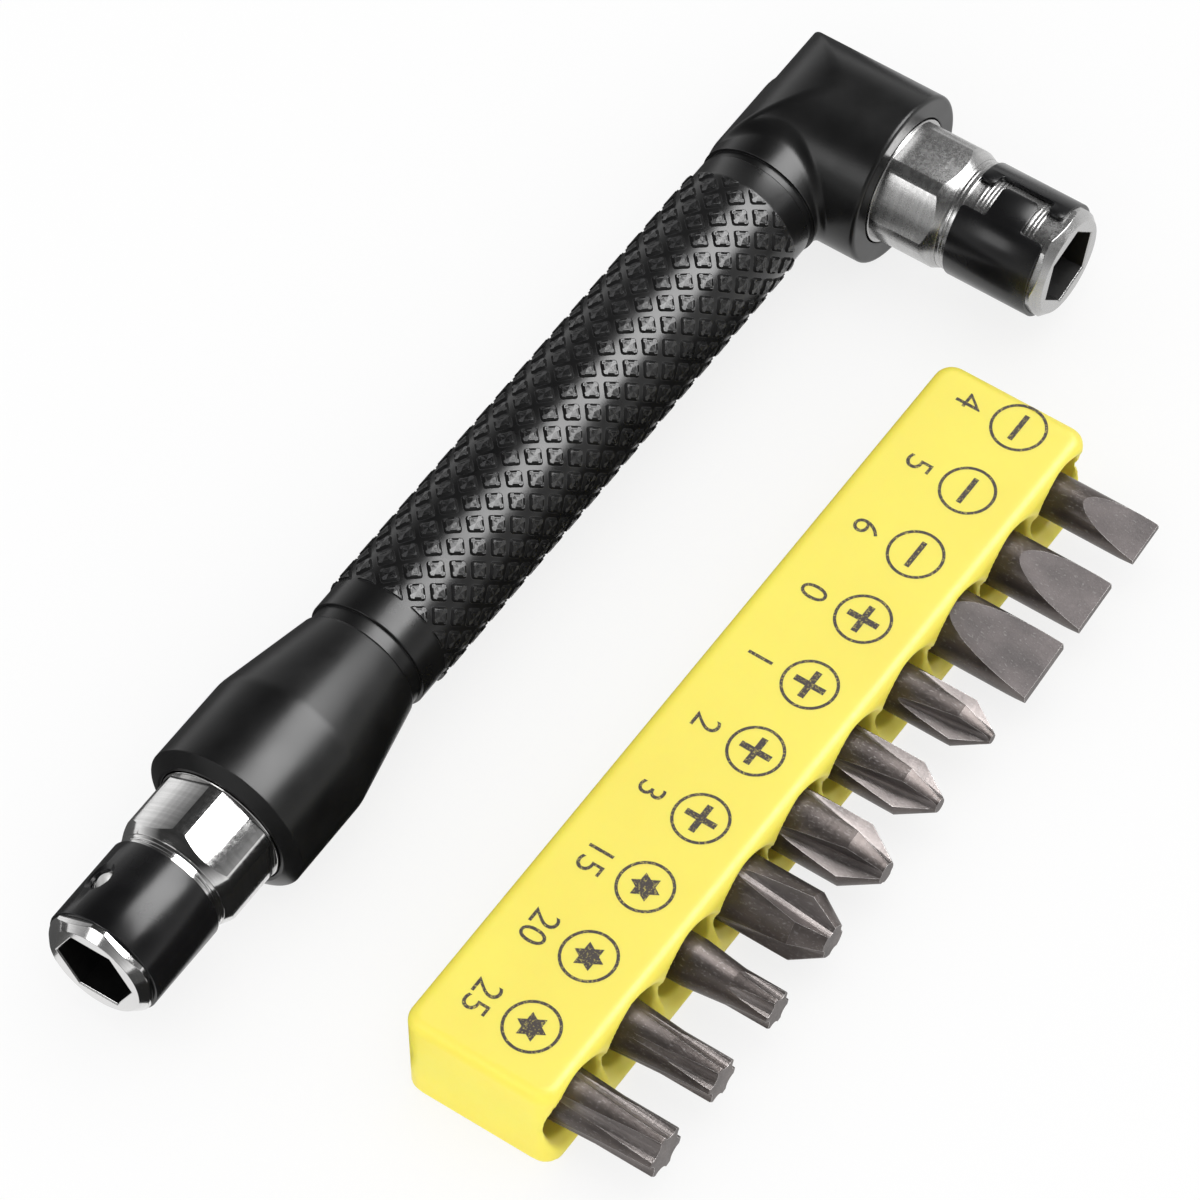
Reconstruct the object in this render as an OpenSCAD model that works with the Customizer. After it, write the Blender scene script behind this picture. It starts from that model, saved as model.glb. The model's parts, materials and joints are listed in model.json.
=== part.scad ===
// Offset screwdriver: an L-shaped driver for hexagon bits, with a socket at each end,
// and a strip that holds ten bits. Lengths are in millimetres.
// The origin is the centre of the straight socket's mouth. +Y runs along the handle to
// the head, +X is the way the angled socket points, and +Z is up from the table.

/* [Drive] */
// Size of a bit across its flats
bit_af = 6.35; // [6.3:0.05:6.45]
// Room in the socket's bore over a bit, across the flats
bore_clear = 0.1; // [0.05:0.01:0.15]
// Depth of the hexagon bore from the mouth
bore_depth = 11; // [9.5:0.5:12]
// Radius of the countersink at the mouth's face
csk_r = 3.9; // [3.85:0.05:4]
// Depth of the countersink
csk_depth = 0.35; // [0.25:0.05:0.45]

/* [Socket] */
// Length of a socket that stands out of the black body
socket_out = 16.85; // [16:0.05:17.5]
// Diameter of the turned corners of the lip round the mouth
lip_d = 10.35; // [10.2:0.05:10.5]
// Size of the lip's hexagon across its flats
lip_af = 9.5; // [9.3:0.05:9.7]
// Length of the lip, from the mouth to the band
lip_len = 1.2; // [1.1:0.05:1.3]
// Diameter of the flat face round the mouth
lip_face_d = 8.9; // [8.7:0.05:9]
// Length of the cone from that face to the lip's corners
lip_cone_len = 0.9; // [0.7:0.05:1]
// Length of the plain shoulder behind the band
shoulder_len = 0.95; // [0.8:0.05:1.1]
// Diameter of that shoulder
shoulder_d = 10.3; // [10.2:0.05:10.5]
// Diameter where the collar's front cone starts
collar_nose_d = 10.4; // [10.35:0.05:10.8]
// Length of the collar's front cone
collar_nose_len = 1.2; // [1:0.05:1.5]
// Diameter of the turned corners of the collar
collar_d = 11.55; // [11.4:0.05:11.8]
// Size of the hexagon collar across its flats
collar_af = 10.5; // [10.45:0.05:10.8]
// Diameter of the hidden shank
shank_d = 8; // [7.5:0.1:8.4]
// Length of the hidden shank behind the collar
shank_len = 9; // [7:0.5:10]
// Diameter of the recess that the collar sits in
seat_d = 12; // [11.9:0.05:12.1]
// Depth of that recess
seat_depth = 0.5; // [0.3:0.05:0.7]

/* [Spring band] */
// Outer diameter of the band
band_d = 10.7; // [10.6:0.02:10.8]
// Thickness of its sheet
band_t = 0.45; // [0.35:0.01:0.5]
// Length of the band along the socket
band_len = 8.25; // [8:0.05:8.6]
// Angle from the ball to the middle of the slit
slit_turn = 149; // [140:1:165]
// Width of the slit between the hooks and the plain edge, in degrees
slit_gap = 32; // [24:1:36]
// How far the recess reaches in past the hooks, in degrees
recess_reach = 16; // [12:1:20]
// How far the tongue reaches from the plain edge, in degrees
tongue_reach = 35; // [28:1:38]
// Width of the tongue along the socket
tongue_w = 3.5; // [3:0.1:3.8]
// Distance from the band's front edge to the tongue
tongue_from = 2.4; // [2.2:0.05:2.6]
// Room between the tongue and each hook, along the socket
tongue_room = 0.9; // [0.6:0.05:1.1]

/* [Detent] */
// Diameter of the ball
ball_d = 2; // [1.9:0.05:2.1]
// Distance from the mouth to the ball
ball_at = 5.4; // [5.2:0.05:5.6]
// How far the ball stands into the bore's corner at rest
ball_bite = 0.37; // [0.32:0.01:0.4]
// Room round the ball in its hole
ball_clear = 0.03; // [0.02:0.01:0.05]
// Turn of the straight socket's ball about its axis, from the angled socket's side upward
straight_turn = 122; // [0:1:359]
// Turn of the angled socket's ball about its axis, from below toward the handle's far side
angle_turn = 43; // [0:1:359]
// Turn of the outer hexagons of both sockets, counted like those two turns
outer_turn = 28; // [0:1:59]

/* [Handle] */
// From the straight mouth to the angled socket's axis
handle_len = 103.7; // [98:0.1:108]
// Diameter of the nose cone's round part
nose_d = 15.2; // [14.8:0.1:15.6]
// Length of its round part
nose_len = 9.4; // [8.5:0.1:10]
// Length of its taper
taper_len = 9.4; // [8.5:0.1:10]
// Diameter at the taper's small end
taper_end_d = 11.35; // [11.2:0.05:11.6]
// Width of the cone on the nose cone's front rim
nose_rim_w = 1.3; // [0.9:0.1:1.3]
// Length of that cone along the handle
nose_rim_len = 0.8; // [0.5:0.1:1]
// Length of the groove between nose cone and grip
groove_len = 1.45; // [1.2:0.05:1.7]
// Diameter in that groove
groove_d = 10.87; // [10.7:0.01:11]
// Diameter of the grip's plain rings
ring_d = 11.5; // [11.4:0.05:11.6]
// Length of the plain ring next to the nose cone
ring_len = 3; // [2.5:0.1:3.5]
// Length of the plain ring next to the head
far_ring_len = 2.5; // [2:0.1:3]
// Diameter over the knurl's pads
knurl_d = 11.93; // [11.8:0.01:12.1]
// Length of the groove between grip and head
neck_groove_len = 0.75; // [0.6:0.05:1]
// Diameter in that groove
neck_groove_d = 11.1; // [11:0.05:11.2]
// Diameter of the head's neck
neck_d = 11.7; // [11.6:0.05:11.8]
// Length from that groove to the head's axis
neck_len = 8.9; // [8.8:0.05:9.5]
// Diameter of the rod inside the handle
rod_d = 6; // [5:0.1:7]
// Room round what is fixed in a bore
fit_clear = 0.02; // [0.01:0.01:0.03]

/* [Head] */
// Diameter of the head
head_d = 16.12; // [15.8:0.02:16.5]
// From the handle's axis to the angled mouth
angle_len = 26; // [24.5:0.05:27]
// How far the axis of the rounded back lies on from the handle's axis
back_shift = 2.4; // [2.2:0.05:2.6]
// Chamfer on the head's front rim
head_chamfer = 0.35; // [0.2:0.05:0.5]

/* [Bit strip] */
// Distance from one bit to the next
pitch = 7.9; // [7.7:0.05:8.2]
// Distance from the end bits' axes to the strip's ends
end_margin = 4.1; // [4.05:0.05:4.5]
// Depth of the strip, from its back to the bits' side
strip_w = 14.5; // [14.3:0.1:15.5]
// Height of the strip
strip_h = 9.9; // [9.6:0.1:10.8]
// Radius of its upright corners
strip_corner_r = 1.7; // [1.5:0.1:2]
// Radius of its top edges
strip_edge_r = 1.1; // [0.8:0.1:1.3]
// From the handle's axis to the strip's back
strip_off = 23.2; // [22:0.1:30]
// From the angled socket's axis to the strip's near side, along the handle
strip_from_head = 15.1; // [12:0.1:25]
// Room round a bit's corners in its hole
hole_clear = 0.05; // [0.03:0.01:0.1]
// Length of a bit that stands out of the strip
bit_out = 8.2; // [8:0.1:8.5]
// Radius of a hole's mouth at the strip's face
mouth_r = 4.45; // [4.3:0.05:4.6]
// Length of the widened mouth
mouth_len = 0.93; // [0.6:0.01:1]

/* [Bits] */
// Length of a bit
bit_len = 22; // [21.5:0.1:22]
// Length of its hexagon shank
hex_len = 10.5; // [9:0.5:11]
// Length of the cone between shank and neck
shoulder_cone = 0.8; // [0.5:0.1:1]
// Chamfer on the shank's rear edge
bit_chamfer = 0.5; // [0.3:0.05:0.6]
// Blade width of the smallest slotted bit, the same as its neck
slot_w_4 = 4.1; // [3.9:0.05:4.3]
// Blade width of the middle slotted bit
slot_w_5 = 5.1; // [4.9:0.05:5.3]
// Blade width of the largest slotted bit
slot_w_6 = 6; // [5.8:0.05:6.2]
// Blade thickness of the smallest slotted bit
slot_t_4 = 0.6; // [0.5:0.05:0.8]
// Blade thickness of the middle slotted bit
slot_t_5 = 0.8; // [0.6:0.05:1]
// Blade thickness of the largest slotted bit
slot_t_6 = 1; // [0.8:0.05:1.2]
// Length of the smallest slotted bit's ground flats
flat_len_4 = 6; // [5.6:0.1:6.4]
// Length of the middle slotted bit's ground flats
flat_len_5 = 7.2; // [6.8:0.1:7.6]
// Length of the largest slotted bit's ground flats
flat_len_6 = 7.8; // [7.4:0.1:8]
// Neck diameter of cross bit 0
cross_d_0 = 4.4; // [4.2:0.05:4.5]
// Neck diameter of cross bit 1
cross_d_1 = 5; // [4.8:0.05:5.1]
// Neck diameter of cross bit 2
cross_d_2 = 5.8; // [5.6:0.05:5.9]
// Neck diameter of cross bit 3
cross_d_3 = 6.2; // [6.1:0.05:6.25]
// Tip diameter of cross bit 0
cross_tip_0 = 0.9; // [0.8:0.05:1.1]
// Tip diameter of cross bit 1
cross_tip_1 = 1.3; // [1.2:0.05:1.5]
// Tip diameter of cross bit 2
cross_tip_2 = 2; // [1.8:0.05:2.2]
// Tip diameter of cross bit 3
cross_tip_3 = 3; // [2.8:0.05:3.2]
// Tip diameter of six-lobe bit 15
lobe_tip_15 = 3.35; // [3.25:0.05:3.45]
// Tip diameter of six-lobe bit 20
lobe_tip_20 = 3.9; // [3.8:0.05:4]
// Tip diameter of six-lobe bit 25
lobe_tip_25 = 4.45; // [4.35:0.05:4.55]
// Neck diameter of six-lobe bit 15
lobe_neck_15 = 4.3; // [4.2:0.05:4.4]
// Neck diameter of six-lobe bit 20
lobe_neck_20 = 4.6; // [4.5:0.05:4.7]
// Neck diameter of six-lobe bit 25
lobe_neck_25 = 5; // [4.9:0.05:5.1]

/* [Hidden] */
$fn = 96;

// One overrun for every cut that has to break through a face
over = band_len / 8;

hex_sides = 6;
hex_half = 30;
bore_af = bit_af + bore_clear;
bore_corner_r = bore_af / 2 / cos(hex_half);
band_r = band_d / 2;
band_in_r = band_r - band_t;
barrel_r = band_in_r - fit_clear;
band_end = lip_len + band_len;
shoulder_end = band_end + shoulder_len;
collar_start = shoulder_end + collar_nose_len;
collar_end = socket_out + seat_depth;
shank_end = collar_end + shank_len;
ball_r = ball_d / 2;
ball_centre_r = bore_corner_r - ball_bite + ball_r;
ball_hole_r = ball_r + ball_clear;
window_rise = band_in_r - ball_centre_r;
window_r = sqrt(ball_r * ball_r - window_rise * window_rise) + ball_clear;

taper_start = socket_out + nose_len;
taper_end = taper_start + taper_len;
sleeve_start = taper_end + groove_len;
knurl_start = sleeve_start + ring_len;
neck_start = handle_len - neck_len;
sleeve_end = neck_start - neck_groove_len;
knurl_end = sleeve_end - far_ring_len;
knurl_step = (knurl_d - ring_d) / 2;
rod_bore_r = rod_d / 2 + fit_clear;
shank_bore_r = shank_d / 2 + fit_clear;
head_r = head_d / 2;
head_front = angle_len - socket_out;
rod_end = handle_len - shank_bore_r - fit_clear - rod_d / 4;
angle_shank_x = angle_len - shank_end;

table_z = -head_r;
bits = 10;
strip_len = (bits - 1) * pitch + 2 * end_margin;
strip_mid = handle_len - strip_from_head - strip_len / 2;
strip_face = strip_off + strip_w;
bit_z = table_z + strip_h / 2;
bit_corner_r = bit_af / 2 / cos(hex_half);
hole_r = bit_corner_r + hole_clear;
bit_in = bit_len - bit_out;
hole_depth = bit_in + hole_clear;
notch_at = bore_depth - ball_at;

// One blade, cross and lobe row for each bit: sizes from tip to neck
slot_bits = [
    [slot_w_4, slot_t_4, flat_len_4],
    [slot_w_5, slot_t_5, flat_len_5],
    [slot_w_6, slot_t_6, flat_len_6]
];
cross_bits = [
    [cross_d_0, cross_tip_0],
    [cross_d_1, cross_tip_1],
    [cross_d_2, cross_tip_2],
    [cross_d_3, cross_tip_3]
];
lobe_bits = [
    [lobe_tip_15, lobe_neck_15],
    [lobe_tip_20, lobe_neck_20],
    [lobe_tip_25, lobe_neck_25]
];

// Shares of a bit's own sizes
cross_cone_share = 0.62;
cross_web_share = 0.3;
cross_flute_share = 1.5;
lobe_groove_share = 0.24;
lobe_depth_share = 0.27;
lobe_len_share = 1.2;

// The flutes and grooves end where the neck meets the shank's cone
bit_neck_len = bit_len - hex_len - shoulder_cone;

// Places a socket's own frame, mouth at its origin and looking up, at each end
module at_straight_mouth() {
    rotate([90, 0, 0]) rotate(straight_turn) children();
}

module at_angle_mouth() {
    translate([angle_len, handle_len, 0]) rotate([0, 90, 0]) rotate(angle_turn) children();
}

// A hexagon prism that stands on the plane below it, corners on X
module hex_prism(af, height) {
    cylinder(h = height, d = af / cos(hex_half), $fn = hex_sides);
}

// A radial hole from a socket's axis outward
module radial_hole(radius) {
    translate([0, 0, -ball_at]) rotate([0, 90, 0]) cylinder(h = band_d, r = radius);
}

// A hexagon prism round the socket's axis, from the mouth to a depth
module outer_hex(af, depth, turn) {
    translate([0, 0, -depth]) rotate(outer_turn - turn) hex_prism(af, depth);
}

// The lip in front of the band, a hexagon with turned corners and a coned front
module socket_lip(turn) {
    intersection() {
        rotate_extrude() polygon([
            [0, 0],
            [lip_face_d / 2, 0],
            [lip_d / 2, -lip_cone_len],
            [lip_d / 2, -lip_len],
            [0, -lip_len]
        ]);
        outer_hex(lip_af, lip_len, turn);
    }
}

module socket_barrel() {
    rotate_extrude() polygon([
        [0, -lip_len],
        [barrel_r, -lip_len],
        [barrel_r, -band_end],
        [shoulder_d / 2, -band_end],
        [shoulder_d / 2, -shoulder_end],
        [0, -shoulder_end]
    ]);
}

module socket_collar(turn) {
    intersection() {
        rotate_extrude() polygon([
            [0, -shoulder_end],
            [collar_nose_d / 2, -shoulder_end],
            [collar_d / 2, -collar_start],
            [collar_d / 2, -collar_end],
            [0, -collar_end]
        ]);
        outer_hex(collar_af, collar_end, turn);
    }
}

module socket_shank() {
    translate([0, 0, -shank_end]) cylinder(h = shank_len + seat_depth, d = shank_d);
}

// The turned socket with its hexagon bore, countersink and ball hole
module socket(turn) {
    difference() {
        union() {
            socket_lip(turn);
            socket_barrel();
            socket_collar(turn);
            socket_shank();
        }
        translate([0, 0, -bore_depth]) hex_prism(bore_af, bore_depth + over);
        translate([0, 0, -csk_depth]) cylinder(h = csk_depth, r1 = bore_af / 2, r2 = csk_r);
        radial_hole(ball_hole_r);
    }
}

// A cut through the band's sheet: start and end angle, and its two ends from the mouth
module band_cut(start, end, from, to) {
    rotate(start) rotate_extrude(angle = end - start)
        translate([band_in_r - over, -to]) square([band_t + 2 * over, to - from]);
}

// The split band, with a tongue on the plain edge and a recess between two hooks
module spring_band() {
    plain_edge = slit_turn + slit_gap / 2;
    hook_edge = slit_turn - slit_gap / 2;
    recess_edge = hook_edge - recess_reach;
    tongue_front = lip_len + tongue_from;
    tongue_rear = tongue_front + tongue_w;
    recess_front = tongue_front - tongue_room;
    recess_rear = tongue_rear + tongue_room;
    difference() {
        translate([0, 0, -band_end]) difference() {
            cylinder(h = band_len, r = band_r);
            translate([0, 0, -over]) cylinder(h = band_len + 2 * over, r = band_in_r);
        }
        band_cut(hook_edge, plain_edge, lip_len - over, tongue_front);
        band_cut(hook_edge, plain_edge, tongue_rear, band_end + over);
        band_cut(recess_edge, plain_edge, recess_front, tongue_front);
        band_cut(recess_edge, plain_edge, tongue_rear, recess_rear);
        band_cut(recess_edge, plain_edge - tongue_reach, recess_front, recess_rear);
        radial_hole(window_r);
    }
}

module detent_ball() {
    translate([ball_centre_r, 0, -ball_at]) sphere(r = ball_r);
}

module straight_socket() {
    color("silver") at_straight_mouth() socket(straight_turn);
}

module angle_socket() {
    color("silver") at_angle_mouth() socket(angle_turn);
}

module straight_spring_band() {
    color([0.09, 0.09, 0.1]) at_straight_mouth() spring_band();
}

module angle_spring_band() {
    color([0.09, 0.09, 0.1]) at_angle_mouth() spring_band();
}

module straight_detent_ball() {
    color("gainsboro") at_straight_mouth() detent_ball();
}

module angle_detent_ball() {
    color("gainsboro") at_angle_mouth() detent_ball();
}

// A solid turned about the handle's axis, from points of radius and place along it
module turned(points) {
    rotate([-90, 0, 0]) rotate_extrude() polygon(points);
}

// A bore along the handle's axis
module handle_bore(radius, from, to) {
    translate([0, from, 0]) rotate([-90, 0, 0]) cylinder(h = to - from, r = radius);
}

module nose_cone() {
    color([0.12, 0.12, 0.13]) difference() {
        turned([
            [0, socket_out],
            [nose_d / 2 - nose_rim_w, socket_out],
            [nose_d / 2, socket_out + nose_rim_len],
            [nose_d / 2, taper_start],
            [taper_end_d / 2, taper_end],
            [groove_d / 2, taper_end],
            [groove_d / 2, sleeve_start],
            [0, sleeve_start]
        ]);
        handle_bore(seat_d / 2, socket_out - over, collar_end);
        handle_bore(shank_bore_r, socket_out, shank_end);
        handle_bore(rod_bore_r, shank_end - over, sleeve_start + over);
    }
}

module grip_sleeve() {
    color([0.1, 0.1, 0.11]) difference() {
        turned([
            [0, sleeve_start],
            [ring_d / 2, sleeve_start],
            [ring_d / 2, knurl_start],
            [knurl_d / 2, knurl_start + knurl_step],
            [knurl_d / 2, knurl_end - knurl_step],
            [ring_d / 2, knurl_end],
            [ring_d / 2, sleeve_end],
            [0, sleeve_end]
        ]);
        handle_bore(rod_bore_r, sleeve_start - over, sleeve_end + over);
    }
}

// The head: a cylinder along the socket's axis whose back is rounded about an upright
// cylinder of the same radius, parallel to the handle
module head_body() {
    back_x = back_shift - head_r;
    intersection() {
        translate([0, handle_len, 0]) rotate([0, 90, 0]) rotate_extrude() polygon([
            [0, back_x - over],
            [head_r, back_x - over],
            [head_r, head_front - head_chamfer],
            [head_r - head_chamfer, head_front],
            [0, head_front]
        ]);
        union() {
            translate([back_shift, handle_len - head_d, 0]) rotate([-90, 0, 0])
                cylinder(h = 2 * head_d, r = head_r);
            translate([back_shift, handle_len - head_d, -head_d])
                cube([angle_len, 2 * head_d, 2 * head_d]);
        }
    }
}

module elbow_head() {
    color([0.12, 0.12, 0.13]) difference() {
        union() {
            head_body();
            turned([
                [0, sleeve_end],
                [neck_groove_d / 2, sleeve_end],
                [neck_groove_d / 2, neck_start],
                [neck_d / 2, neck_start],
                [neck_d / 2, handle_len],
                [0, handle_len]
            ]);
        }
        translate([angle_shank_x, handle_len, 0]) rotate([0, 90, 0])
            cylinder(h = shank_end, r = shank_bore_r);
        translate([head_front - seat_depth, handle_len, 0]) rotate([0, 90, 0])
            cylinder(h = seat_depth + over, d = seat_d);
        handle_bore(rod_bore_r, sleeve_end - over, rod_end);
    }
}

module core_rod() {
    color("gray") handle_bore(rod_d / 2, shank_end, rod_end);
}

// A rectangle with round corners, centred, built of squares and circles
module round_rect(size_x, size_y, radius) {
    square([size_x - 2 * radius, size_y], center = true);
    square([size_x, size_y - 2 * radius], center = true);
    for (x = [-1, 1], y = [-1, 1]) {
        translate([x * (size_x / 2 - radius), y * (size_y / 2 - radius)]) circle(r = radius);
    }
}

// A rectangle that stands on its base line, with its two upper corners rounded
module top_round_rect(size_x, size_y, radius) {
    translate([-size_x / 2, 0]) square([size_x, size_y - radius]);
    translate([-size_x / 2 + radius, 0]) square([size_x - 2 * radius, size_y]);
    for (x = [-1, 1]) {
        translate([x * (size_x / 2 - radius), size_y - radius]) circle(r = radius);
    }
}

module strip_block() {
    intersection() {
        linear_extrude(strip_h) round_rect(strip_w, strip_len, strip_corner_r);
        translate([0, strip_len / 2, 0]) rotate([90, 0, 0])
            linear_extrude(strip_len) top_round_rect(strip_w, strip_h, strip_edge_r);
        translate([-strip_w / 2, 0, 0]) rotate([90, 0, 90])
            linear_extrude(strip_w) top_round_rect(strip_len, strip_h, strip_edge_r);
    }
}

// Puts a bit's own frame, the middle of its hole's mouth with the tip along +X, in the strip
module at_bit(index) {
    y = strip_mid + (bits - 1) * pitch / 2 - index * pitch;
    translate([strip_face, y, bit_z]) children();
}

module bit_strip() {
    color([0.98, 0.88, 0.2]) difference() {
        translate([strip_off + strip_w / 2, strip_mid, table_z]) strip_block();
        for (index = [0:bits - 1]) {
            at_bit(index) rotate([0, 90, 0]) {
                translate([0, 0, -hole_depth]) cylinder(h = hole_depth + over, r = hole_r);
                translate([0, 0, -mouth_len]) cylinder(h = mouth_len, r1 = hole_r, r2 = mouth_r);
                cylinder(h = over, r = mouth_r);
            }
        }
    }
}

// Outline of a bit from its chamfered rear end to the end of its shoulder cone
function shank_line(neck_d) = [
    [0, -bit_in],
    [bit_corner_r - bit_chamfer, -bit_in],
    [bit_corner_r, bit_chamfer - bit_in],
    [bit_corner_r, hex_len - bit_in],
    [neck_d / 2, hex_len + shoulder_cone - bit_in]
];

// A bit's turned blank with its hexagon shank and the notches that the ball rests in
module bit_blank(line) {
    rotate([0, 90, 0]) difference() {
        intersection() {
            rotate_extrude() polygon(line);
            translate([0, 0, -bit_in]) hex_prism(bit_af, bit_len);
        }
        rotate_extrude() translate([ball_centre_r, notch_at - bit_in]) circle(r = ball_r);
    }
}

// A cut that takes away what lies above a line sloping down to the tip
module flat_cut(width, rear, high, low) {
    translate([0, width, 0]) rotate([90, 0, 0]) linear_extrude(2 * width) polygon([
        [bit_out - rear, high],
        [bit_out, low],
        [bit_out + over, low],
        [bit_out + over, 2 * high],
        [bit_out - rear, 2 * high]
    ]);
}

module slot_bit(index) {
    neck_d = slot_bits[index][0];
    thick = slot_bits[index][1];
    flat = slot_bits[index][2];
    difference() {
        bit_blank(concat(shank_line(neck_d), [[neck_d / 2, bit_out], [0, bit_out]]));
        for (side = [0, 1]) {
            mirror([0, 0, side]) flat_cut(neck_d, flat, neck_d / 2, thick / 2);
        }
    }
}

module cross_bit(index) {
    neck_d = cross_bits[index][0];
    tip_d = cross_bits[index][1];
    cone_len = (neck_d - tip_d) / 2 / cross_cone_share;
    flute_len = neck_d * cross_flute_share;
    flute_low = tip_d * cross_web_share;
    difference() {
        bit_blank(concat(shank_line(neck_d), [
            [neck_d / 2, bit_out - cone_len],
            [tip_d / 2, bit_out],
            [0, bit_out]
        ]));
        for (turn = [45:90:315]) {
            rotate([turn, 0, 0]) translate([bit_out, 0, flute_low])
                rotate([0, atan((neck_d / 2 - flute_low) / flute_len), 0]) translate([-bit_neck_len, 0, 0])
                    rotate([45, 0, 0]) cube([bit_neck_len + over, neck_d, neck_d]);
        }
    }
}

module lobe_bit(index) {
    tip_d = lobe_bits[index][0];
    neck_d = lobe_bits[index][1];
    lobe_len = tip_d * lobe_len_share;
    groove_r = tip_d * lobe_groove_share;
    groove_low = tip_d / 2 - tip_d * lobe_depth_share / 2;
    run_len = 2 * lobe_len;
    difference() {
        bit_blank(concat(shank_line(neck_d), [
            [neck_d / 2, bit_out - run_len],
            [tip_d / 2, bit_out - lobe_len],
            [tip_d / 2, bit_out],
            [0, bit_out]
        ]));
        for (turn = [0:60:300]) {
            rotate([turn, 0, 0]) translate([bit_out, 0, groove_low + groove_r])
                rotate([0, atan((neck_d / 2 - groove_low) / run_len), 0]) translate([-bit_neck_len, 0, 0])
                    rotate([0, 90, 0]) cylinder(h = bit_neck_len + over, r = groove_r);
        }
    }
}

module bit_slot_4() {
    color("dimgray") at_bit(0) slot_bit(0);
}

module bit_slot_5() {
    color("dimgray") at_bit(1) slot_bit(1);
}

module bit_slot_6() {
    color("dimgray") at_bit(2) slot_bit(2);
}

module bit_cross_0() {
    color("dimgray") at_bit(3) cross_bit(0);
}

module bit_cross_1() {
    color("dimgray") at_bit(4) cross_bit(1);
}

module bit_cross_2() {
    color("dimgray") at_bit(5) cross_bit(2);
}

module bit_cross_3() {
    color("dimgray") at_bit(6) cross_bit(3);
}

module bit_lobe_15() {
    color("dimgray") at_bit(7) lobe_bit(0);
}

module bit_lobe_20() {
    color("dimgray") at_bit(8) lobe_bit(1);
}

module bit_lobe_25() {
    color("dimgray") at_bit(9) lobe_bit(2);
}

straight_socket();
angle_socket();
straight_spring_band();
angle_spring_band();
straight_detent_ball();
angle_detent_ball();
nose_cone();
grip_sleeve();
elbow_head();
core_rod();
bit_strip();
bit_slot_4();
bit_slot_5();
bit_slot_6();
bit_cross_0();
bit_cross_1();
bit_cross_2();
bit_cross_3();
bit_lobe_15();
bit_lobe_20();
bit_lobe_25();
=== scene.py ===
"""Looks of an offset screwdriver with two bit sockets, beside a strip that holds ten bits."""
import json
import math

import bmesh
import bpy
import numpy as np
from bpy.props import FloatProperty, FloatVectorProperty, IntProperty, PointerProperty
from mathutils import Matrix, Vector


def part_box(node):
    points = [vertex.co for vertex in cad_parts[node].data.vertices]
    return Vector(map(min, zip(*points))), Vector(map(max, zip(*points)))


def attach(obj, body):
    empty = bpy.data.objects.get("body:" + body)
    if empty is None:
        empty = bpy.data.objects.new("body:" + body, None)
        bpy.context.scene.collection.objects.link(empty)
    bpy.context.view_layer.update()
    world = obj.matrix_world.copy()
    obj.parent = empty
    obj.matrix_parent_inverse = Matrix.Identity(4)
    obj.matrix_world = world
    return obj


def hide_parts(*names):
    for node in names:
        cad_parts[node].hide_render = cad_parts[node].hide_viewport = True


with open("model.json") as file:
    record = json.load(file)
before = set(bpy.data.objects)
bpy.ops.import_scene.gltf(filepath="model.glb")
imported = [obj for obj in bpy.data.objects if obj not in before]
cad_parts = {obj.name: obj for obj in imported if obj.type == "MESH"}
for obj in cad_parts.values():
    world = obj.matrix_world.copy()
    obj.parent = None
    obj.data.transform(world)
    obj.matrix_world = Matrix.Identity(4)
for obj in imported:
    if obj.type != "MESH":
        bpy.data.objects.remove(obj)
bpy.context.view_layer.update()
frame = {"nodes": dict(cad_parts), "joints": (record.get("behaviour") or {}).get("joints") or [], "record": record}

bl_info = {
    "name": "Offset screwdriver set",
    "version": (1, 0, 0),
    "blender": (4, 5, 0),
    "location": "View3D > Sidebar > Screwdriver",
    "description": "Builds an offset screwdriver with two bit sockets and a strip of bits",
    "category": "Add Mesh",
}

MM = 0.001
RECORD = frame["record"]
MOUNTS = {mount["name"]: mount for mount in RECORD["mounts"]}
JOINTS = {joint["name"]: joint for joint in frame["joints"]}
HEX_SIDES = 6
HEX_HALF = math.radians(30)
MERGE = 0.0001 * MM
INK_H = 0.012 * MM
ROUND_STEPS = 160
BAND_SLICES = 150


# Places taken from the frame

def span(node, axis):
    """Lowest and highest value of a CAD node along one axis, in metres."""
    low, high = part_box(node)
    return low["xyz".index(axis)], high["xyz".index(axis)]


HANDLE_END = MOUNTS["angle_drive"]["pos_m"][1]
ANGLE_MOUTH = MOUNTS["angle_drive"]["pos_m"][0]
NOSE_FROM, NOSE_TO = span("nose_cone", "y")
SLEEVE_FROM, SLEEVE_TO = span("grip_sleeve", "y")
HEAD_BACK, HEAD_FRONT = span("elbow_head", "x")
HEAD_R = span("elbow_head", "z")[1]
NOSE_R = span("nose_cone", "z")[1]
GRIP_R = span("grip_sleeve", "z")[1]
LIP_LEN, BAND_END = span("straight_spring_band", "y")
BAND_LEN = BAND_END - LIP_LEN
STRIP_LOW, STRIP_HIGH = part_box("bit_strip")
TABLE_Z = STRIP_LOW.z
BIT_NODES = [
    "bit_slot_4", "bit_slot_5", "bit_slot_6",
    "bit_cross_0", "bit_cross_1", "bit_cross_2", "bit_cross_3",
    "bit_lobe_15", "bit_lobe_20", "bit_lobe_25",
]
BIT_Y = [sum(span(node, "y")) / 2 for node in BIT_NODES]
BIT_Z = sum(span("bit_slot_4", "z")) / 2
BIT_REAR, BIT_TIP = span("bit_slot_4", "x")
BIT_LEN = BIT_TIP - BIT_REAR
BALL_DEPTH = sum(span("straight_detent_ball", "y")) / 2
BODY_DEPTH = {"straight": NOSE_FROM, "angle": ANGLE_MOUTH - HEAD_FRONT}


def size(name, value, words):
    """A length in millimetres that a user may change."""
    return FloatProperty(name=name, description=words, default=value * MM, unit="LENGTH", precision=5)


def degrees(name, value, words):
    """An angle in degrees that a user may change."""
    return FloatProperty(name=name, description=words, default=math.radians(value), subtype="ANGLE")


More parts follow.
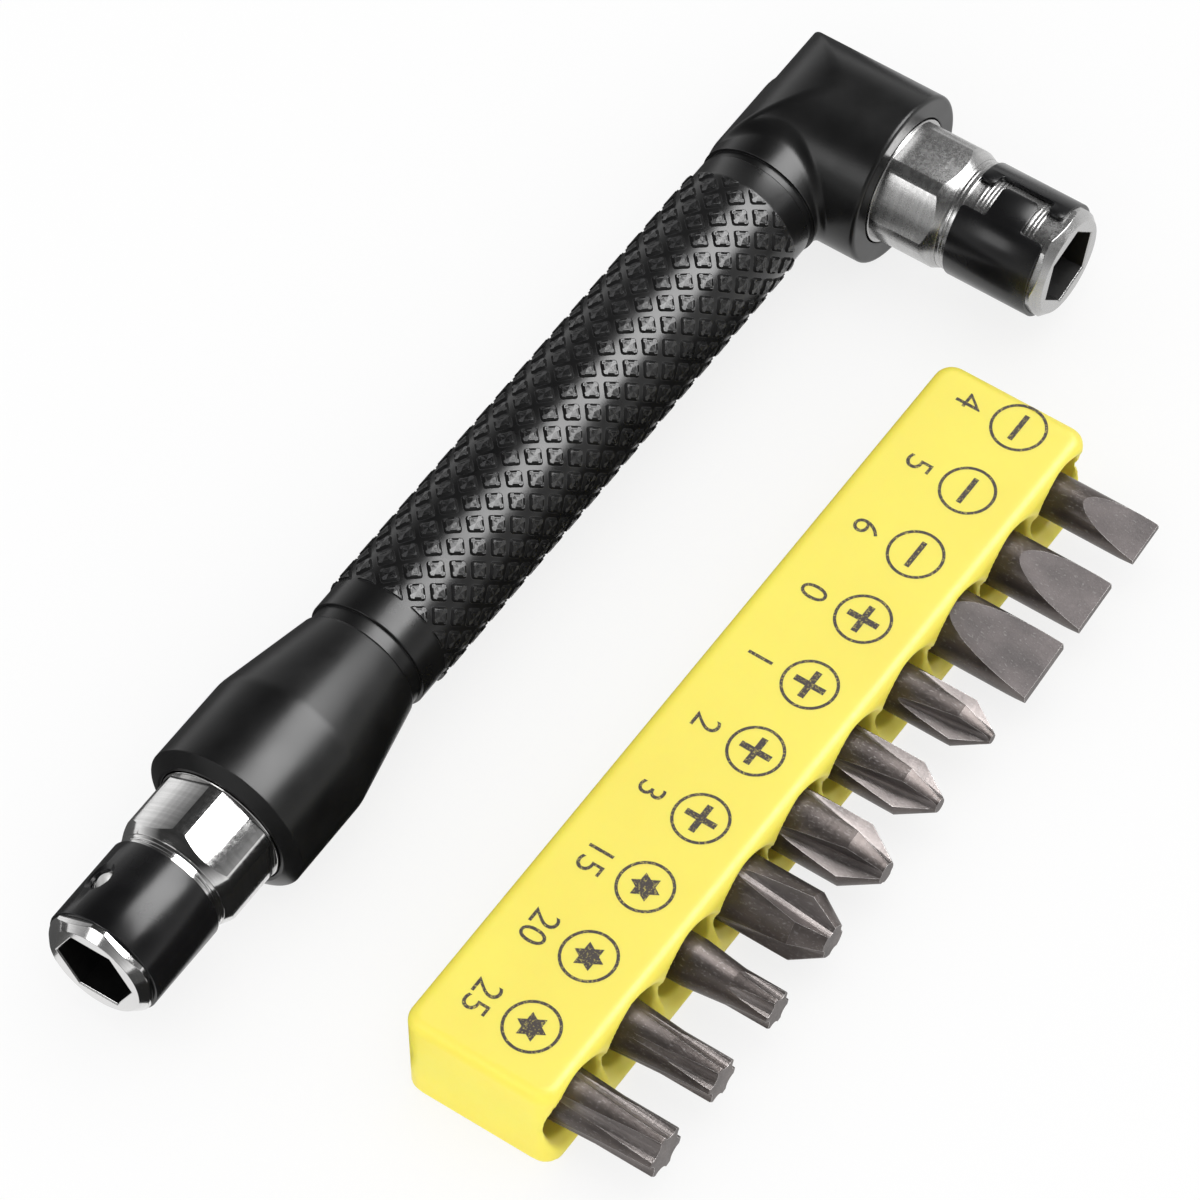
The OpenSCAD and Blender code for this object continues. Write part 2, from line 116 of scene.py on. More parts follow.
def amount(name, value, words):
    """A plain number that a user may change."""
    return FloatProperty(name=name, description=words, default=value)


def tint(name, value, words):
    """A colour that a user may change."""
    return FloatVectorProperty(name=name, description=words, default=value, size=4, subtype="COLOR",
                               min=0, max=1)


class SocketSizes(bpy.types.PropertyGroup):
    """Sizes of the two sockets, measured from the mouth."""
    face_r: size("Face radius", 4.45, "Outer radius of the flat ring round the mouth")
    mouth_chamfer: size("Mouth chamfer", 0.13, "Chamfer along the bore's hexagon at the face")
    lip_r: size("Lip radius", 5.175, "Radius of the turned corners of the lip before the band")
    lip_af: size("Lip across flats", 9.88, "Width of the lip's hexagon over its crowned flats")
    cone_len: size("Lip cone", 0.8, "Length of the cone from the face to the lip's corners")
    outer_turn: degrees("Outer turn", 28, "Turn of the outer hexagons about the axis")
    ball_hole_r: size("Ball hole radius", 1.03, "Radius of the ball's hole in the barrel")
    bore_af: size("Bore across flats", 6.45, "Width of the hexagon bore")
    bore_depth: size("Bore depth", 11, "Depth of the hexagon bore")
    barrel_r: size("Barrel radius", 4.88, "Radius of the barrel under the band")
    groove_depth: size("Groove depth", 0.07, "Depth of the barrel's fine grooves")
    groove_pitch: size("Groove pitch", 0.36, "Distance between the barrel's fine grooves")
    shoulder_r: size("Shoulder radius", 5.15, "Radius of the plain ring behind the band")
    shoulder_len: size("Shoulder length", 0.95, "Length of that ring")
    nose_r: size("Collar nose radius", 5.2, "Radius where the collar's front cone starts")
    nose_len: size("Collar nose length", 1.2, "Length of the collar's front cone")
    collar_r: size("Collar radius", 5.77, "Radius of the collar's turned corners")
    collar_af: size("Collar across flats", 11.0, "Width of the collar's hexagon over its crowned flats")
    crown: size("Crown", 12, "Radius of the slight curve across each flat")
    flange_r: size("Flange radius", 5.88, "Radius of the round flange at the collar's foot")
    flange_len: size("Flange length", 0.12, "How far the flange stands out of its recess")
    collar_end: size("Collar end", 17.34, "Distance from the mouth to the collar's hidden end")
    edge: size("Edge", 0.05, "Width of the broken edges")


class BandSizes(bpy.types.PropertyGroup):
    """Sizes of the two spring bands."""
    outer_r: size("Outer radius", 5.35, "Outer radius of the band")
    sheet: size("Sheet", 0.45, "Thickness of the sheet")
    sheet_edge: size("Sheet edge", 0.07, "Rounding of the sheet's edges")
    slit_turn: degrees("Slit turn", 149, "Angle from the ball to the slit's middle")
    slit_gap: degrees("Slit gap", 32, "Width of the slit as an angle")
    recess: degrees("Recess", 16, "Reach of the recess past the hooks, as an angle")
    tongue: degrees("Tongue", 35, "Reach of the tongue from the plain edge, as an angle")
    tongue_w: size("Tongue width", 3.5, "Width of the tongue along the socket")
    tongue_from: size("Tongue from", 2.4, "Distance from the band's front edge to the tongue")
    tongue_room: size("Tongue room", 0.9, "Room between the tongue and each hook")
    corner: size("Corner", 0.45, "Radius of the sheet's round corners")
    window_r: size("Window radius", 1.1, "Radius of the ball's window")
    window_flare: size("Window flare", 1.7, "Outer radius of the window's countersink")
    window_turn: degrees("Window turn", 5, "Angle from the ball to the window's middle")


class BodySizes(bpy.types.PropertyGroup):
    """Sizes of the black body."""
    round_len: size("Round length", 9.4, "Length of the nose cone's round part")
    taper_len: size("Taper length", 9.4, "Length of the nose cone's taper")
    taper_r: size("Taper end radius", 5.675, "Radius at the taper's small end")
    groove_r: size("Groove radius", 5.435, "Radius in the groove behind the nose cone")
    rim: size("Rim radius", 0.35, "Rounding of the head's front rim")
    cone_w: size("Rim cone width", 1.3, "Width of the cone on the nose cone's front rim")
    cone_len: size("Rim cone length", 0.8, "Length of that cone")
    seat_r: size("Seat radius", 6.0, "Radius of the recess round a collar")
    seat_depth: size("Seat depth", 0.5, "Depth of the recess round a collar")
    ring_r: size("Ring radius", 5.75, "Radius of the grip's plain rings")
    ring_len: size("Near ring", 3, "Length of the plain ring beside the nose cone")
    far_ring_len: size("Far ring", 2.5, "Length of the plain ring beside the head")
    pads_round: IntProperty(name="Pads round", description="Number of knurl pads round the grip",
                            default=13, min=6)
    pad_share: FloatProperty(name="Pad share", description="Share of a knurl cell that its pad fills",
                             default=0.78, min=0.4, max=0.9)
    pad_slope: size("Pad slope", 0.24, "Width of a pad's sloping sides")
    neck_r: size("Neck radius", 5.85, "Radius of the head's neck")
    neck_groove_r: size("Neck groove radius", 5.55, "Radius in the groove before the neck")
    neck_groove_len: size("Neck groove length", 0.75, "Length of the groove before the neck")
    back_shift: size("Back shift", 2.4, "Place of the axis of the head's rounded back")
    neck_fillet: size("Neck fillet", 0.7, "Radius of the blend between neck and head")
    crease: size("Crease", 0.24, "Softness of the head's creases")
    voxel: size("Head voxel", 0.13, "Face size of the head's mesh")


class StripSizes(bpy.types.PropertyGroup):
    """Sizes of the bit strip."""
    corner: size("Corner", 1.75, "Radius of the upright corners")
    top_edge: size("Top edge", 1.1, "Radius of the top edges")
    foot_edge: size("Foot edge", 0.35, "Radius of the bottom edges")
    hole_r: size("Hole radius", 3.72, "Radius of a bit's hole")
    hole_depth: size("Hole depth", 13.85, "Depth of a bit's hole")
    mouth_r: size("Mouth radius", 4.45, "Radius of a hole's flared mouth at the face")
    mouth_len: size("Mouth length", 0.93, "Length of a hole's flared mouth")
    mouth_edge: size("Mouth edge", 0.3, "Rounding of the mouths")
    voxel: size("Strip voxel", 0.3, "Face size of the strip's mesh")
    ring_r: size("Ring radius", 2.34, "Radius of the printed rings")
    ring_from_face: size("Ring place", 5.33, "Distance from the front face to the rings' middles")
    print_shift: size("Print shift", 1.1, "Place of the print along the strip, from the bits' axes")
    line: size("Line", 0.27, "Width of the printed lines")
    number_from_face: size("Number place", 10.3, "Distance from the front face to the numbers")
    number_h: size("Number height", 2.5, "Height of the numbers")
    figure_thin: size("Thinner figures", 0.02, "How much the figures' outlines are drawn in")


class BitSizes(bpy.types.PropertyGroup):
    """Sizes that all bits share."""
    af: size("Across flats", 6.35, "Width of the hexagon shank")
    hex_len: size("Shank length", 10.5, "Length of the hexagon shank")
    cone_len: size("Cone length", 0.8, "Length of the cone between shank and neck")
    chamfer: size("Chamfer", 0.5, "Chamfer of the shank's rear end")
    notch_at: size("Notch place", 5.6, "Distance from the rear end to the notches")
    notch_r: size("Notch radius", 1, "Radius of the notches")
    notch_in: size("Notch bottom", 3.354, "Distance from the axis to the bottom of the notches")
    edge: size("Edge", 0.045, "Width of the broken edges")
    roll: degrees("Roll", 8, "Turn of the bits in their round holes")
    last_cross_roll: degrees("Largest cross bit's roll", 50, "Turn of the largest cross bit")


class Finishes(bpy.types.PropertyGroup):
    """Colours of the materials."""
    plating: tint("Plating", (0.78, 0.775, 0.77, 1), "Plated steel of the sockets")
    band: tint("Band", (0.006, 0.006, 0.0065, 1), "Black of the spring bands")
    enamel: tint("Enamel", (0.006, 0.006, 0.0062, 1), "Black of the body")
    bit: tint("Bit steel", (0.11, 0.095, 0.09, 1), "Dark steel of the bits' turned parts")
    bit_ground: tint("Ground steel", (0.098, 0.083, 0.082, 1), "Matt grey of the bits' ground faces")
    bit_flute: tint("Fluted steel", (0.17, 0.152, 0.147, 1), "Brighter grey of the bits' ground flutes")
    # Along the bits' edges this colour is partly bare steel from wear and partly a painted highlight.
    bit_edge: tint("Bit edge", (0.66, 0.63, 0.62, 1), "Bare steel along the bits' edges")
    plastic: tint("Plastic", (1.0, 0.83, 0.1, 1), "Yellow of the strip")
    ink: tint("Ink", (0.045, 0.028, 0.02, 1), "Print on the strip")


# Meshes

def mesh_object(name, bm):
    """A linked object with the bmesh's shape. The bmesh is freed."""
    mesh = bpy.data.meshes.new(name)
    bm.to_mesh(mesh)
    bm.free()
    obj = bpy.data.objects.new(name, mesh)
    bpy.context.scene.collection.objects.link(obj)
    return obj


def modified(bm, kind, partner=None, **settings):
    """The bmesh after one modifier, with a second bmesh as its partner where it needs one."""
    holder = mesh_object("holder", bm)
    helper = mesh_object("helper", partner) if partner else None
    modifier = holder.modifiers.new(kind.lower(), kind)
    for key, value in settings.items():
        setattr(modifier, key, value)
    if helper:
        modifier.object = helper
    shape = holder.evaluated_get(bpy.context.evaluated_depsgraph_get())
    made = bmesh.new()
    made.from_mesh(shape.to_mesh())
    shape.to_mesh_clear()
    for obj in filter(None, (holder, helper)):
        mesh = obj.data
        bpy.data.objects.remove(obj)
        bpy.data.meshes.remove(mesh)
    if not made.faces:
        raise RuntimeError("a " + kind.lower() + " left nothing")
    return made


def carved(bm, partner, operation="DIFFERENCE"):
    """One closed shape cut by, joined to or limited by another."""
    return modified(bm, "BOOLEAN", partner, operation=operation, solver="EXACT")


def joined(*shapes):
    """Several closed shapes in one bmesh."""
    whole = bmesh.new()
    for bm in shapes:
        mesh = bpy.data.meshes.new("part")
        bm.to_mesh(mesh)
        bm.free()
        whole.from_mesh(mesh)
        bpy.data.meshes.remove(mesh)
    return whole


def rounded(points, segments=5):
    """An outline of (radius, place, corner radius) points with its corners turned into arcs."""
    outline = []
    for index, (x, y, corner) in enumerate(points):
        if not corner:
            outline.append((x, y))
            continue
        here = Vector((x, y))
        before = (Vector(points[index - 1][:2]) - here).normalized()
        after = (Vector(points[(index + 1) % len(points)][:2]) - here).normalized()
        half = before.angle(after) / 2
        reach = corner / math.tan(half)
        centre = here + (before + after).normalized() * corner / math.sin(half)
        start, end = here + before * reach - centre, here + after * reach - centre
        sweep = start.angle_signed(end)
        for step in range(segments + 1):
            turn = Matrix.Rotation(-sweep * step / segments, 2)
            outline.append(tuple(centre + turn @ start))
    return outline


def turned(outline, steps=128):
    """A solid of revolution about Z, from a closed outline of (radius, height)."""
    bm = bmesh.new()
    verts = [bm.verts.new((radius, 0, height)) for radius, height in outline]
    edges = [bm.edges.new((a, b)) for a, b in zip(verts, verts[1:] + verts[:1])
             if a.co.x + b.co.x > 0]
    bmesh.ops.spin(bm, geom=verts + edges, cent=(0, 0, 0), axis=(0, 0, 1), angle=2 * math.pi,
                   steps=steps, use_merge=True)
    bmesh.ops.remove_doubles(bm, verts=bm.verts, dist=0.001 * MM)
    bmesh.ops.recalc_face_normals(bm, faces=bm.faces)
    return bm


def corner_on_x(bm):
    """Turns an upright shape about its axis until a corner lies on +X."""
    corner = max(bm.verts, key=lambda vert: vert.co.x).co
    turn = Matrix.Rotation(-math.atan2(corner.y, corner.x), 3, "Z")
    bmesh.ops.rotate(bm, verts=bm.verts, matrix=turn)
    return bm


def prism(sides, across, low, high):
    """An upright prism across its flats, with a corner on +X."""
    return corner_on_x(rod(across / 2 / math.cos(math.pi / sides), low, high, sides))


def crowned(sides, across, low, high, crown, parts=10):
    """A prism whose flats are slightly curved, with a corner on +X."""
    bm = corner_on_x(rod(across, low, high, sides * parts))
    for vert in bm.verts:
        turn = (math.atan2(vert.co.y, vert.co.x) % (2 * math.pi / sides)) - math.pi / sides
        bend = math.sin(turn) ** 2 / (2 * crown)
        reach = across / 2
        if bend * reach > 1e-9:
            reach = (math.sqrt(math.cos(turn) ** 2 + 4 * bend * reach) - math.cos(turn)) / (2 * bend)
        vert.co.xy = vert.co.xy.normalized() * reach
    return bm


def rod(radius, low, high, segments=64, top=None):
    """An upright cylinder or cone."""
    bm = bmesh.new()
    bmesh.ops.create_cone(bm, cap_ends=True, segments=segments, radius1=radius,
                          radius2=radius if top is None else top, depth=high - low)
    bmesh.ops.translate(bm, verts=bm.verts, vec=(0, 0, (low + high) / 2))
    return bm


def block(low, high):
    """A box between two corners."""
    bm = bmesh.new()
    low, high = Vector(low), Vector(high)
    bmesh.ops.create_cube(bm, size=1)
    bmesh.ops.scale(bm, verts=bm.verts, vec=high - low)
    bmesh.ops.translate(bm, verts=bm.verts, vec=(low + high) / 2)
    return bm


def moved(bm, matrix):
    """The bmesh after a transform."""
    bmesh.ops.transform(bm, matrix=matrix, verts=bm.verts)
    return bm


def cut_off(bm, place, normal):
    """Takes away what lies beyond a plane and closes the cut."""
    cut = bmesh.ops.bisect_plane(bm, geom=bm.verts[:] + bm.edges[:] + bm.faces[:], plane_co=place,
                                 plane_no=normal, clear_outer=True, dist=MERGE)
    rims = [item for item in cut["geom_cut"] if isinstance(item, bmesh.types.BMEdge)]
    bmesh.ops.holes_fill(bm, edges=rims, sides=0)


def thickened(bm, faces, way):
    """Flat faces pushed out into a closed solid."""
    grown = bmesh.ops.extrude_face_region(bm, geom=faces)
    far = [item for item in grown["geom"] if isinstance(item, bmesh.types.BMVert)]
    bmesh.ops.translate(bm, verts=far, vec=way)
    bmesh.ops.recalc_face_normals(bm, faces=bm.faces)
    return bm


def uprights(bm, least):
    """The edges that rise by more than a length."""
    return [edge for edge in bm.edges if abs(edge.verts[0].co.z - edge.verts[1].co.z) > least]


def rounded_edges(bm, edges, width, segments=2):
    """Bevels the edges into arcs."""
    bmesh.ops.bevel(bm, geom=edges, offset=width, offset_type="OFFSET", affect="EDGES",
                    segments=segments, profile=0.5, material=-1)


def broken_edges(bm, width, angle=28, segments=2):
    """Bevels every edge that is sharper than the angle."""
    bmesh.ops.remove_doubles(bm, verts=bm.verts, dist=width / 8)
    bmesh.ops.dissolve_degenerate(bm, edges=bm.edges, dist=width / 8)
    sharp = [edge for edge in bm.edges
             if edge.is_manifold and edge.calc_face_angle(0) > math.radians(angle)]
    bmesh.ops.bevel(bm, geom=sharp, offset=width, offset_type="OFFSET", affect="EDGES",
                    segments=segments, profile=0.5, material=-1, clamp_overlap=True)
    return bm


def settled(bm, distance, rounds=4):
    """Moves the vertices onto the surface where a distance function is zero, in millimetres."""
    verts = list(bm.verts)
    points = np.array([vert.co for vert in verts]) / MM
    step = 0.01
    for _ in range(rounds):
        here = distance(points)
        slope = np.stack([(distance(points + step * axis) - distance(points - step * axis)) / (2 * step)
                          for axis in np.eye(3)], axis=1)
        steep = np.maximum((slope ** 2).sum(axis=1), 0.25)
        points = points - slope * (np.clip(here, -0.4, 0.4) / steep)[:, None]
    for vert, point in zip(verts, points):
        vert.co = Vector(point) * MM
    return bm


def round_max(a, b, radius):
    """The common part of two shapes, as distances, with the edge between them rounded."""
    outer = np.hypot(np.maximum(a + radius, 0), np.maximum(b + radius, 0))
    return np.minimum(np.maximum(a, b), -radius) + outer


def round_min(a, b, radius):
    """Two shapes joined, as distances, with the corner between them filled."""
    return -round_max(-a, -b, radius)


def piece(name, bm, material, body, replaces=(), smooth=32):
    """The finished object: shaded, coloured and riding on its body."""
    obj = mesh_object(name, bm)
    for extra in material if isinstance(material, (list, tuple)) else [material]:
        obj.data.materials.append(extra)
    obj.data.shade_smooth()
    obj.data.set_sharp_from_angle(angle=math.radians(smooth))
    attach(obj, body)
    if replaces:
        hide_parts(*replaces)
    return obj


def socket_place(end):
    """A socket's own frame: its mouth at the origin, looking along +Z, with its ball on +X."""
    mount = MOUNTS[end + "_drive"]
    out = Vector(mount["axis"]).normalized()
    ball = Vector(JOINTS[end + "_ball_press"]["axis"]).normalized()
    place = Matrix((ball, out.cross(ball), out)).transposed().to_4x4()
    place.translation = Vector(mount["pos_m"])
    return place


def handle_place():
    """The handle's own frame: +Z of a turned shape lies along +Y."""
    return Matrix.Rotation(math.radians(-90), 4, "X")


# Materials

def group_socket(tree, name, kind, default, output=False):
    """A socket of a node group."""
    made = tree.interface.new_socket(name=name, in_out="OUTPUT" if output else "INPUT", socket_type=kind)
    if default is not None:
        made.default_value = default
    return made


def node(tree, kind, values=None, **settings):
    """A shader node with its settings and its inputs' values."""
    made = tree.nodes.new("ShaderNode" + kind)
    for key, value in settings.items():
        setattr(made, key, value)
    for key, value in (values or {}).items():
        if isinstance(value, bpy.types.NodeSocket):
            tree.links.new(value, made.inputs[key])
        else:
            made.inputs[key].default_value = value
    return made


def new_group(name, inputs, outputs):
    """An empty node group with its input and output nodes."""
    tree = bpy.data.node_groups.new(name, "ShaderNodeTree")
    for label, kind, default in inputs:
        group_socket(tree, label, kind, default)
    for label, kind in outputs:
        group_socket(tree, label, kind, None, output=True)
    return tree, tree.nodes.new("NodeGroupInput"), tree.nodes.new("NodeGroupOutput")


def edge_wear_and_highlight_group():
    """A mask that is 1 along the edges of a piece, broken up by noise. It marks rubbed wear and also a painted
    highlight along the edges.
    """
    tree, given, out = new_group(
        "Edge rubbing and highlight",
        [("Width", "NodeSocketFloat", 0.1 * MM), ("Breakup", "NodeSocketFloat", 0.4),
         ("Scale", "NodeSocketFloat", 900.0)],
        [("Mask", "NodeSocketFloat")])
    place = node(tree, "TexCoord")
    soft = node(tree, "Bevel", {"Radius": given.outputs["Width"]}, samples=6)
    plain = node(tree, "NewGeometry")
    agree = node(tree, "VectorMath", {0: soft.outputs[0], 1: plain.outputs["Normal"]},
                 operation="DOT_PRODUCT")
    edge = node(tree, "MapRange", {"Value": agree.outputs["Value"], "From Min": 0.995, "From Max": 0.93})
    noise = node(tree, "TexNoise", {"Vector": place.outputs["Object"], "Scale": given.outputs["Scale"],
                                    "Detail": 3.0})
    chips = node(tree, "MapRange", {"Value": noise.outputs["Fac"], "From Min": 0.35, "From Max": 0.6,
                                    "To Min": 1.0, "To Max": 0.0})
    lost = node(tree, "Math", {0: chips.outputs[0], 1: given.outputs["Breakup"]}, operation="MULTIPLY")
    kept = node(tree, "Math", {0: edge.outputs[0], 1: lost.outputs[0]}, operation="SUBTRACT",
                use_clamp=True)
    tree.links.new(kept.outputs[0], out.inputs["Mask"])
    return tree


def grain_group():
    """Fine speckle and slow drift, as two values about one half."""
    tree, given, out = new_group(
        "Grain",
        [("Fine", "NodeSocketFloat", 4000.0), ("Slow", "NodeSocketFloat", 150.0),
         ("Stretch", "NodeSocketVector", (1, 1, 1))],
        [("Speckle", "NodeSocketFloat"), ("Drift", "NodeSocketFloat")])
    place = node(tree, "TexCoord")
    spread = node(tree, "VectorMath", {0: place.outputs["Object"], 1: given.outputs["Stretch"]},
                  operation="MULTIPLY")
    fine = node(tree, "TexNoise", {"Vector": spread.outputs[0], "Scale": given.outputs["Fine"],
                                   "Detail": 2.0, "Roughness": 0.6})
    slow = node(tree, "TexNoise", {"Vector": spread.outputs[0], "Scale": given.outputs["Slow"],
                                   "Detail": 3.0})
    tree.links.new(fine.outputs["Fac"], out.inputs["Speckle"])
    tree.links.new(slow.outputs["Fac"], out.inputs["Drift"])
    return tree


def place_group(tree, group, values):
    """A node group placed in a material with its own values."""
    made = tree.nodes.new("ShaderNodeGroup")
    made.node_tree = group
    for key, value in values.items():
        made.inputs[key].default_value = value
    return made


def blank_material(name):
    """A material with its Principled BSDF."""
    material = bpy.data.materials.new(name)
    material.use_nodes = True
    return material, material.node_tree, material.node_tree.nodes["Principled BSDF"]


def mixed(tree, factor, first, second):
    """A colour between two others."""
    made = node(tree, "Mix", {"Factor": factor}, data_type="RGBA")
    for index, value in ((6, first), (7, second)):
        if isinstance(value, bpy.types.NodeSocket):
            tree.links.new(value, made.inputs[index])
        else:
            made.inputs[index].default_value = value
    return made.outputs[2]


def ranged(tree, value, low, high, to_low, to_high):
    """A value carried from one range to another."""
    return node(tree, "MapRange", {"Value": value, "From Min": low, "From Max": high,
                                   "To Min": to_low, "To Max": to_high}).outputs[0]


def bumped(tree, shader, height, strength, distance):
    """Feeds a height into the shader's normal."""
    bump = node(tree, "Bump", {"Height": height, "Strength": strength, "Distance": distance})
    tree.links.new(bump.outputs["Normal"], shader.inputs["Normal"])


def scaled(colour, share):
    """A colour made darker or lighter."""
    return tuple(min(channel * share, 1) for channel in colour[:3]) + (1,)


def plated_steel(axis, colour, grain, rough):
    """Bright plated steel with turning marks round one axis."""
    material, tree, shader = blank_material("plated_steel_" + axis)
    along = {"x": (1, 0.01, 0.01), "y": (0.01, 1, 0.01)}[axis]
    marks = place_group(tree, grain, {"Fine": 7500.0, "Slow": 2600.0, "Stretch": along})
    haze = place_group(tree, grain, {"Fine": 2600.0, "Slow": 260.0})
    tree.links.new(mixed(tree, ranged(tree, marks.outputs["Drift"], 0.35, 0.65, 0, 1),
                         scaled(colour, 0.86), colour), shader.inputs["Base Color"])
    shader.inputs["Metallic"].default_value = 1
    tree.links.new(ranged(tree, haze.outputs["Speckle"], 0.3, 0.7, rough, rough + 0.06),
                   shader.inputs["Roughness"])
    heights = node(tree, "Math", {0: marks.outputs["Speckle"], 1: marks.outputs["Drift"]},
                   operation="ADD")
    bumped(tree, shader, heights.outputs[0], 0.35, 0.006 * MM)
    return material


def shaded_broached_steel(colour, grain):
    """The inside of a hexagon bore: dull broached steel, painted nearly black as painted shade in the hole."""
    material, tree, shader = blank_material("shaded_broached_steel")
    marks = place_group(tree, grain, {"Fine": 2600.0, "Slow": 600.0})
    # Painted shade: the bore's steel is painted nearly black.
    tree.links.new(mixed(tree, marks.outputs["Drift"], scaled(colour, 0.04), scaled(colour, 0.13)),
                   shader.inputs["Base Color"])
    shader.inputs["Metallic"].default_value = 1
    shader.inputs["Roughness"].default_value = 0.42
    bumped(tree, shader, marks.outputs["Speckle"], 0.4, 0.02 * MM)
    return material


def black_finish(name, colour, grain, wear_and_highlight, rough, bump, shine=0.38):
    """Semi-gloss black with a fine grain and lighter edges, partly rubbed a little and partly a painted highlight.
    """
    material, tree, shader = blank_material(name)
    skin = place_group(tree, grain, {"Fine": 3600.0, "Slow": 260.0})
    edge = place_group(tree, wear_and_highlight, {"Width": 0.1 * MM, "Breakup": 0.6, "Scale": 700.0})
    ground = mixed(tree, ranged(tree, skin.outputs["Drift"], 0.3, 0.7, 0, 1),
                   scaled(colour, 0.8), scaled(colour, 1.3))
    # Lighter edges: partly rubbed wear, partly a painted highlight.
    tree.links.new(mixed(tree, edge.outputs["Mask"], ground, scaled(colour, 8)),
                   shader.inputs["Base Color"])
    tree.links.new(ranged(tree, skin.outputs["Drift"], 0.3, 0.7, rough - 0.04, rough + 0.04),
                   shader.inputs["Roughness"])
    shader.inputs["Specular IOR Level"].default_value = shine
    bumped(tree, shader, skin.outputs["Speckle"], bump, 0.01 * MM)
    return material


def bit_steel(name, colour, bare_steel_and_highlight, metal, rough, grain, wear_and_highlight):
    """Dark sintered steel of the bits, with a sandy grain and bright edges that are partly bare steel from wear
    and partly a painted highlight.
    """
    material, tree, shader = blank_material(name)
    sand = place_group(tree, grain, {"Fine": 5200.0, "Slow": 420.0, "Stretch": (0.5, 1, 1)})
    rings = place_group(tree, grain, {"Fine": 3800.0, "Slow": 900.0, "Stretch": (1, 0.04, 0.04)})
    edge = place_group(tree, wear_and_highlight, {"Width": 0.07 * MM, "Breakup": 0.3})
    ground = mixed(tree, ranged(tree, sand.outputs["Drift"], 0.3, 0.7, 0, 1),
                   scaled(colour, 0.7), scaled(colour, 1.35))
    speckled = mixed(tree, ranged(tree, sand.outputs["Speckle"], 0.58, 0.75, 0, 0.5),
                     ground, scaled(bare_steel_and_highlight, 0.5))
    # Bright edges: partly bare steel from wear, partly a painted highlight.
    tree.links.new(mixed(tree, edge.outputs["Mask"], speckled, bare_steel_and_highlight), shader.inputs["Base Color"])
    shader.inputs["Metallic"].default_value = metal
    shader.inputs["Specular IOR Level"].default_value = 0.3
    tree.links.new(ranged(tree, sand.outputs["Speckle"], 0.3, 0.7, rough, rough + 0.14),
                   shader.inputs["Roughness"])
    heights = node(tree, "Math", {0: sand.outputs["Speckle"], 1: rings.outputs["Speckle"]},
                   operation="ADD")
    bumped(tree, shader, heights.outputs[0], 0.6, 0.016 * MM)
    return material


def moulded_plastic(colour, grain):
    """Soft-looking yellow plastic with a faint moulded texture."""
    material, tree, shader = blank_material("moulded_plastic")
    skin = place_group(tree, grain, {"Fine": 1800.0, "Slow": 90.0})
    tree.links.new(mixed(tree, ranged(tree, skin.outputs["Drift"], 0.3, 0.7, 0, 1),
                         scaled(colour, 0.97), scaled(colour, 1.03)), shader.inputs["Base Color"])
    tree.links.new(ranged(tree, skin.outputs["Speckle"], 0.3, 0.7, 0.4, 0.5), shader.inputs["Roughness"])
    shader.inputs["Subsurface Weight"].default_value = 0.25
    shader.inputs["Subsurface Radius"].default_value = (1, 0.55, 0.06)
    shader.inputs["Subsurface Scale"].default_value = 1.2 * MM
    bumped(tree, shader, skin.outputs["Drift"], 0.25, 0.05 * MM)
    return material


def print_ink(colour, ground, grain):
    """Dark print whose dots let a little of the plastic through."""
    material, tree, shader = blank_material("print_ink")
    dots = place_group(tree, grain, {"Fine": 5600.0, "Slow": 800.0})
    tree.links.new(mixed(tree, ranged(tree, dots.outputs["Speckle"], 0.54, 0.7, 0, 0.45),
                         colour, ground), shader.inputs["Base Color"])
    shader.inputs["Roughness"].default_value = 0.55
    return material


def make_materials(finish):
    """All materials, made once."""
    grain, wear_and_highlight = grain_group(), edge_wear_and_highlight_group()
    return {
        # The angled socket's plating is a darker copy of the same plating: painted shade.
        "plated_x": plated_steel("x", scaled(finish.plating, 0.62), grain, 0.24),
        "plated_y": plated_steel("y", finish.plating, grain, 0.1),
        # The bore's steel is painted nearly black, painted shade in the hole.
        "bore": shaded_broached_steel(finish.plating, grain),
        "band": black_finish("band_black", finish.band, grain, wear_and_highlight, 0.25, 0.05),
        "enamel": black_finish("body_enamel", finish.enamel, grain, wear_and_highlight, 0.32, 0.06),
        "grip": black_finish("grip_enamel", finish.enamel, grain, wear_and_highlight, 0.29, 0.08, 0.5),
        "flank": black_finish("pad_flank_enamel", finish.enamel, grain, wear_and_highlight, 0.6, 0.08, 0.12),
        # The balls take a lighter copy of the plating: a painted glint in their windows.
        "ball": plated_steel("y", scaled(finish.plating, 1.15), grain, 0.55),
        "bit": bit_steel("turned_bit_steel", finish.bit, finish.bit_edge, 0.85, 0.34, grain, wear_and_highlight),
        "bit_flute": bit_steel("fluted_bit_steel", finish.bit_flute, finish.bit_edge, 0.8, 0.32, grain,
                               wear_and_highlight),
        "bit_ground": bit_steel("ground_bit_steel", finish.bit_ground, finish.bit_edge, 0.12, 0.5, grain,
                                wear_and_highlight),
        "plastic": moulded_plastic(finish.plastic, grain),
        "ink": print_ink(finish.ink, finish.plastic, grain),
    }


MATERIALS = {}


# Pieces

# Where the barrel's fine grooves start and end, from the mouth.
BARREL_GROOVES = ((2.3 * MM, 3.8 * MM), (6.6 * MM, 9.1 * MM))
# The finer grooves on the plain ring behind the band.
RING_GROOVES_FROM = 0.15 * MM
RING_GROOVE_DEPTH = 0.05 * MM
RING_GROOVE_PITCH = 0.3 * MM
# A groove's land, its near wall and its floor end at these shares of the pitch.
LAND_SHARE, WALL_SHARE, FLOOR_SHARE = 0.55, 0.62, 0.93
# Insets from a pad's rim to its middle: width as a share of the side, lift as a share of the height.
PAD_SLOPE_LIFT = 0.92
PAD_INSETS = ((0.07, 0.03), (0.06, -0.12), (0.07, 0.1))
PAD_DOME = 0.02


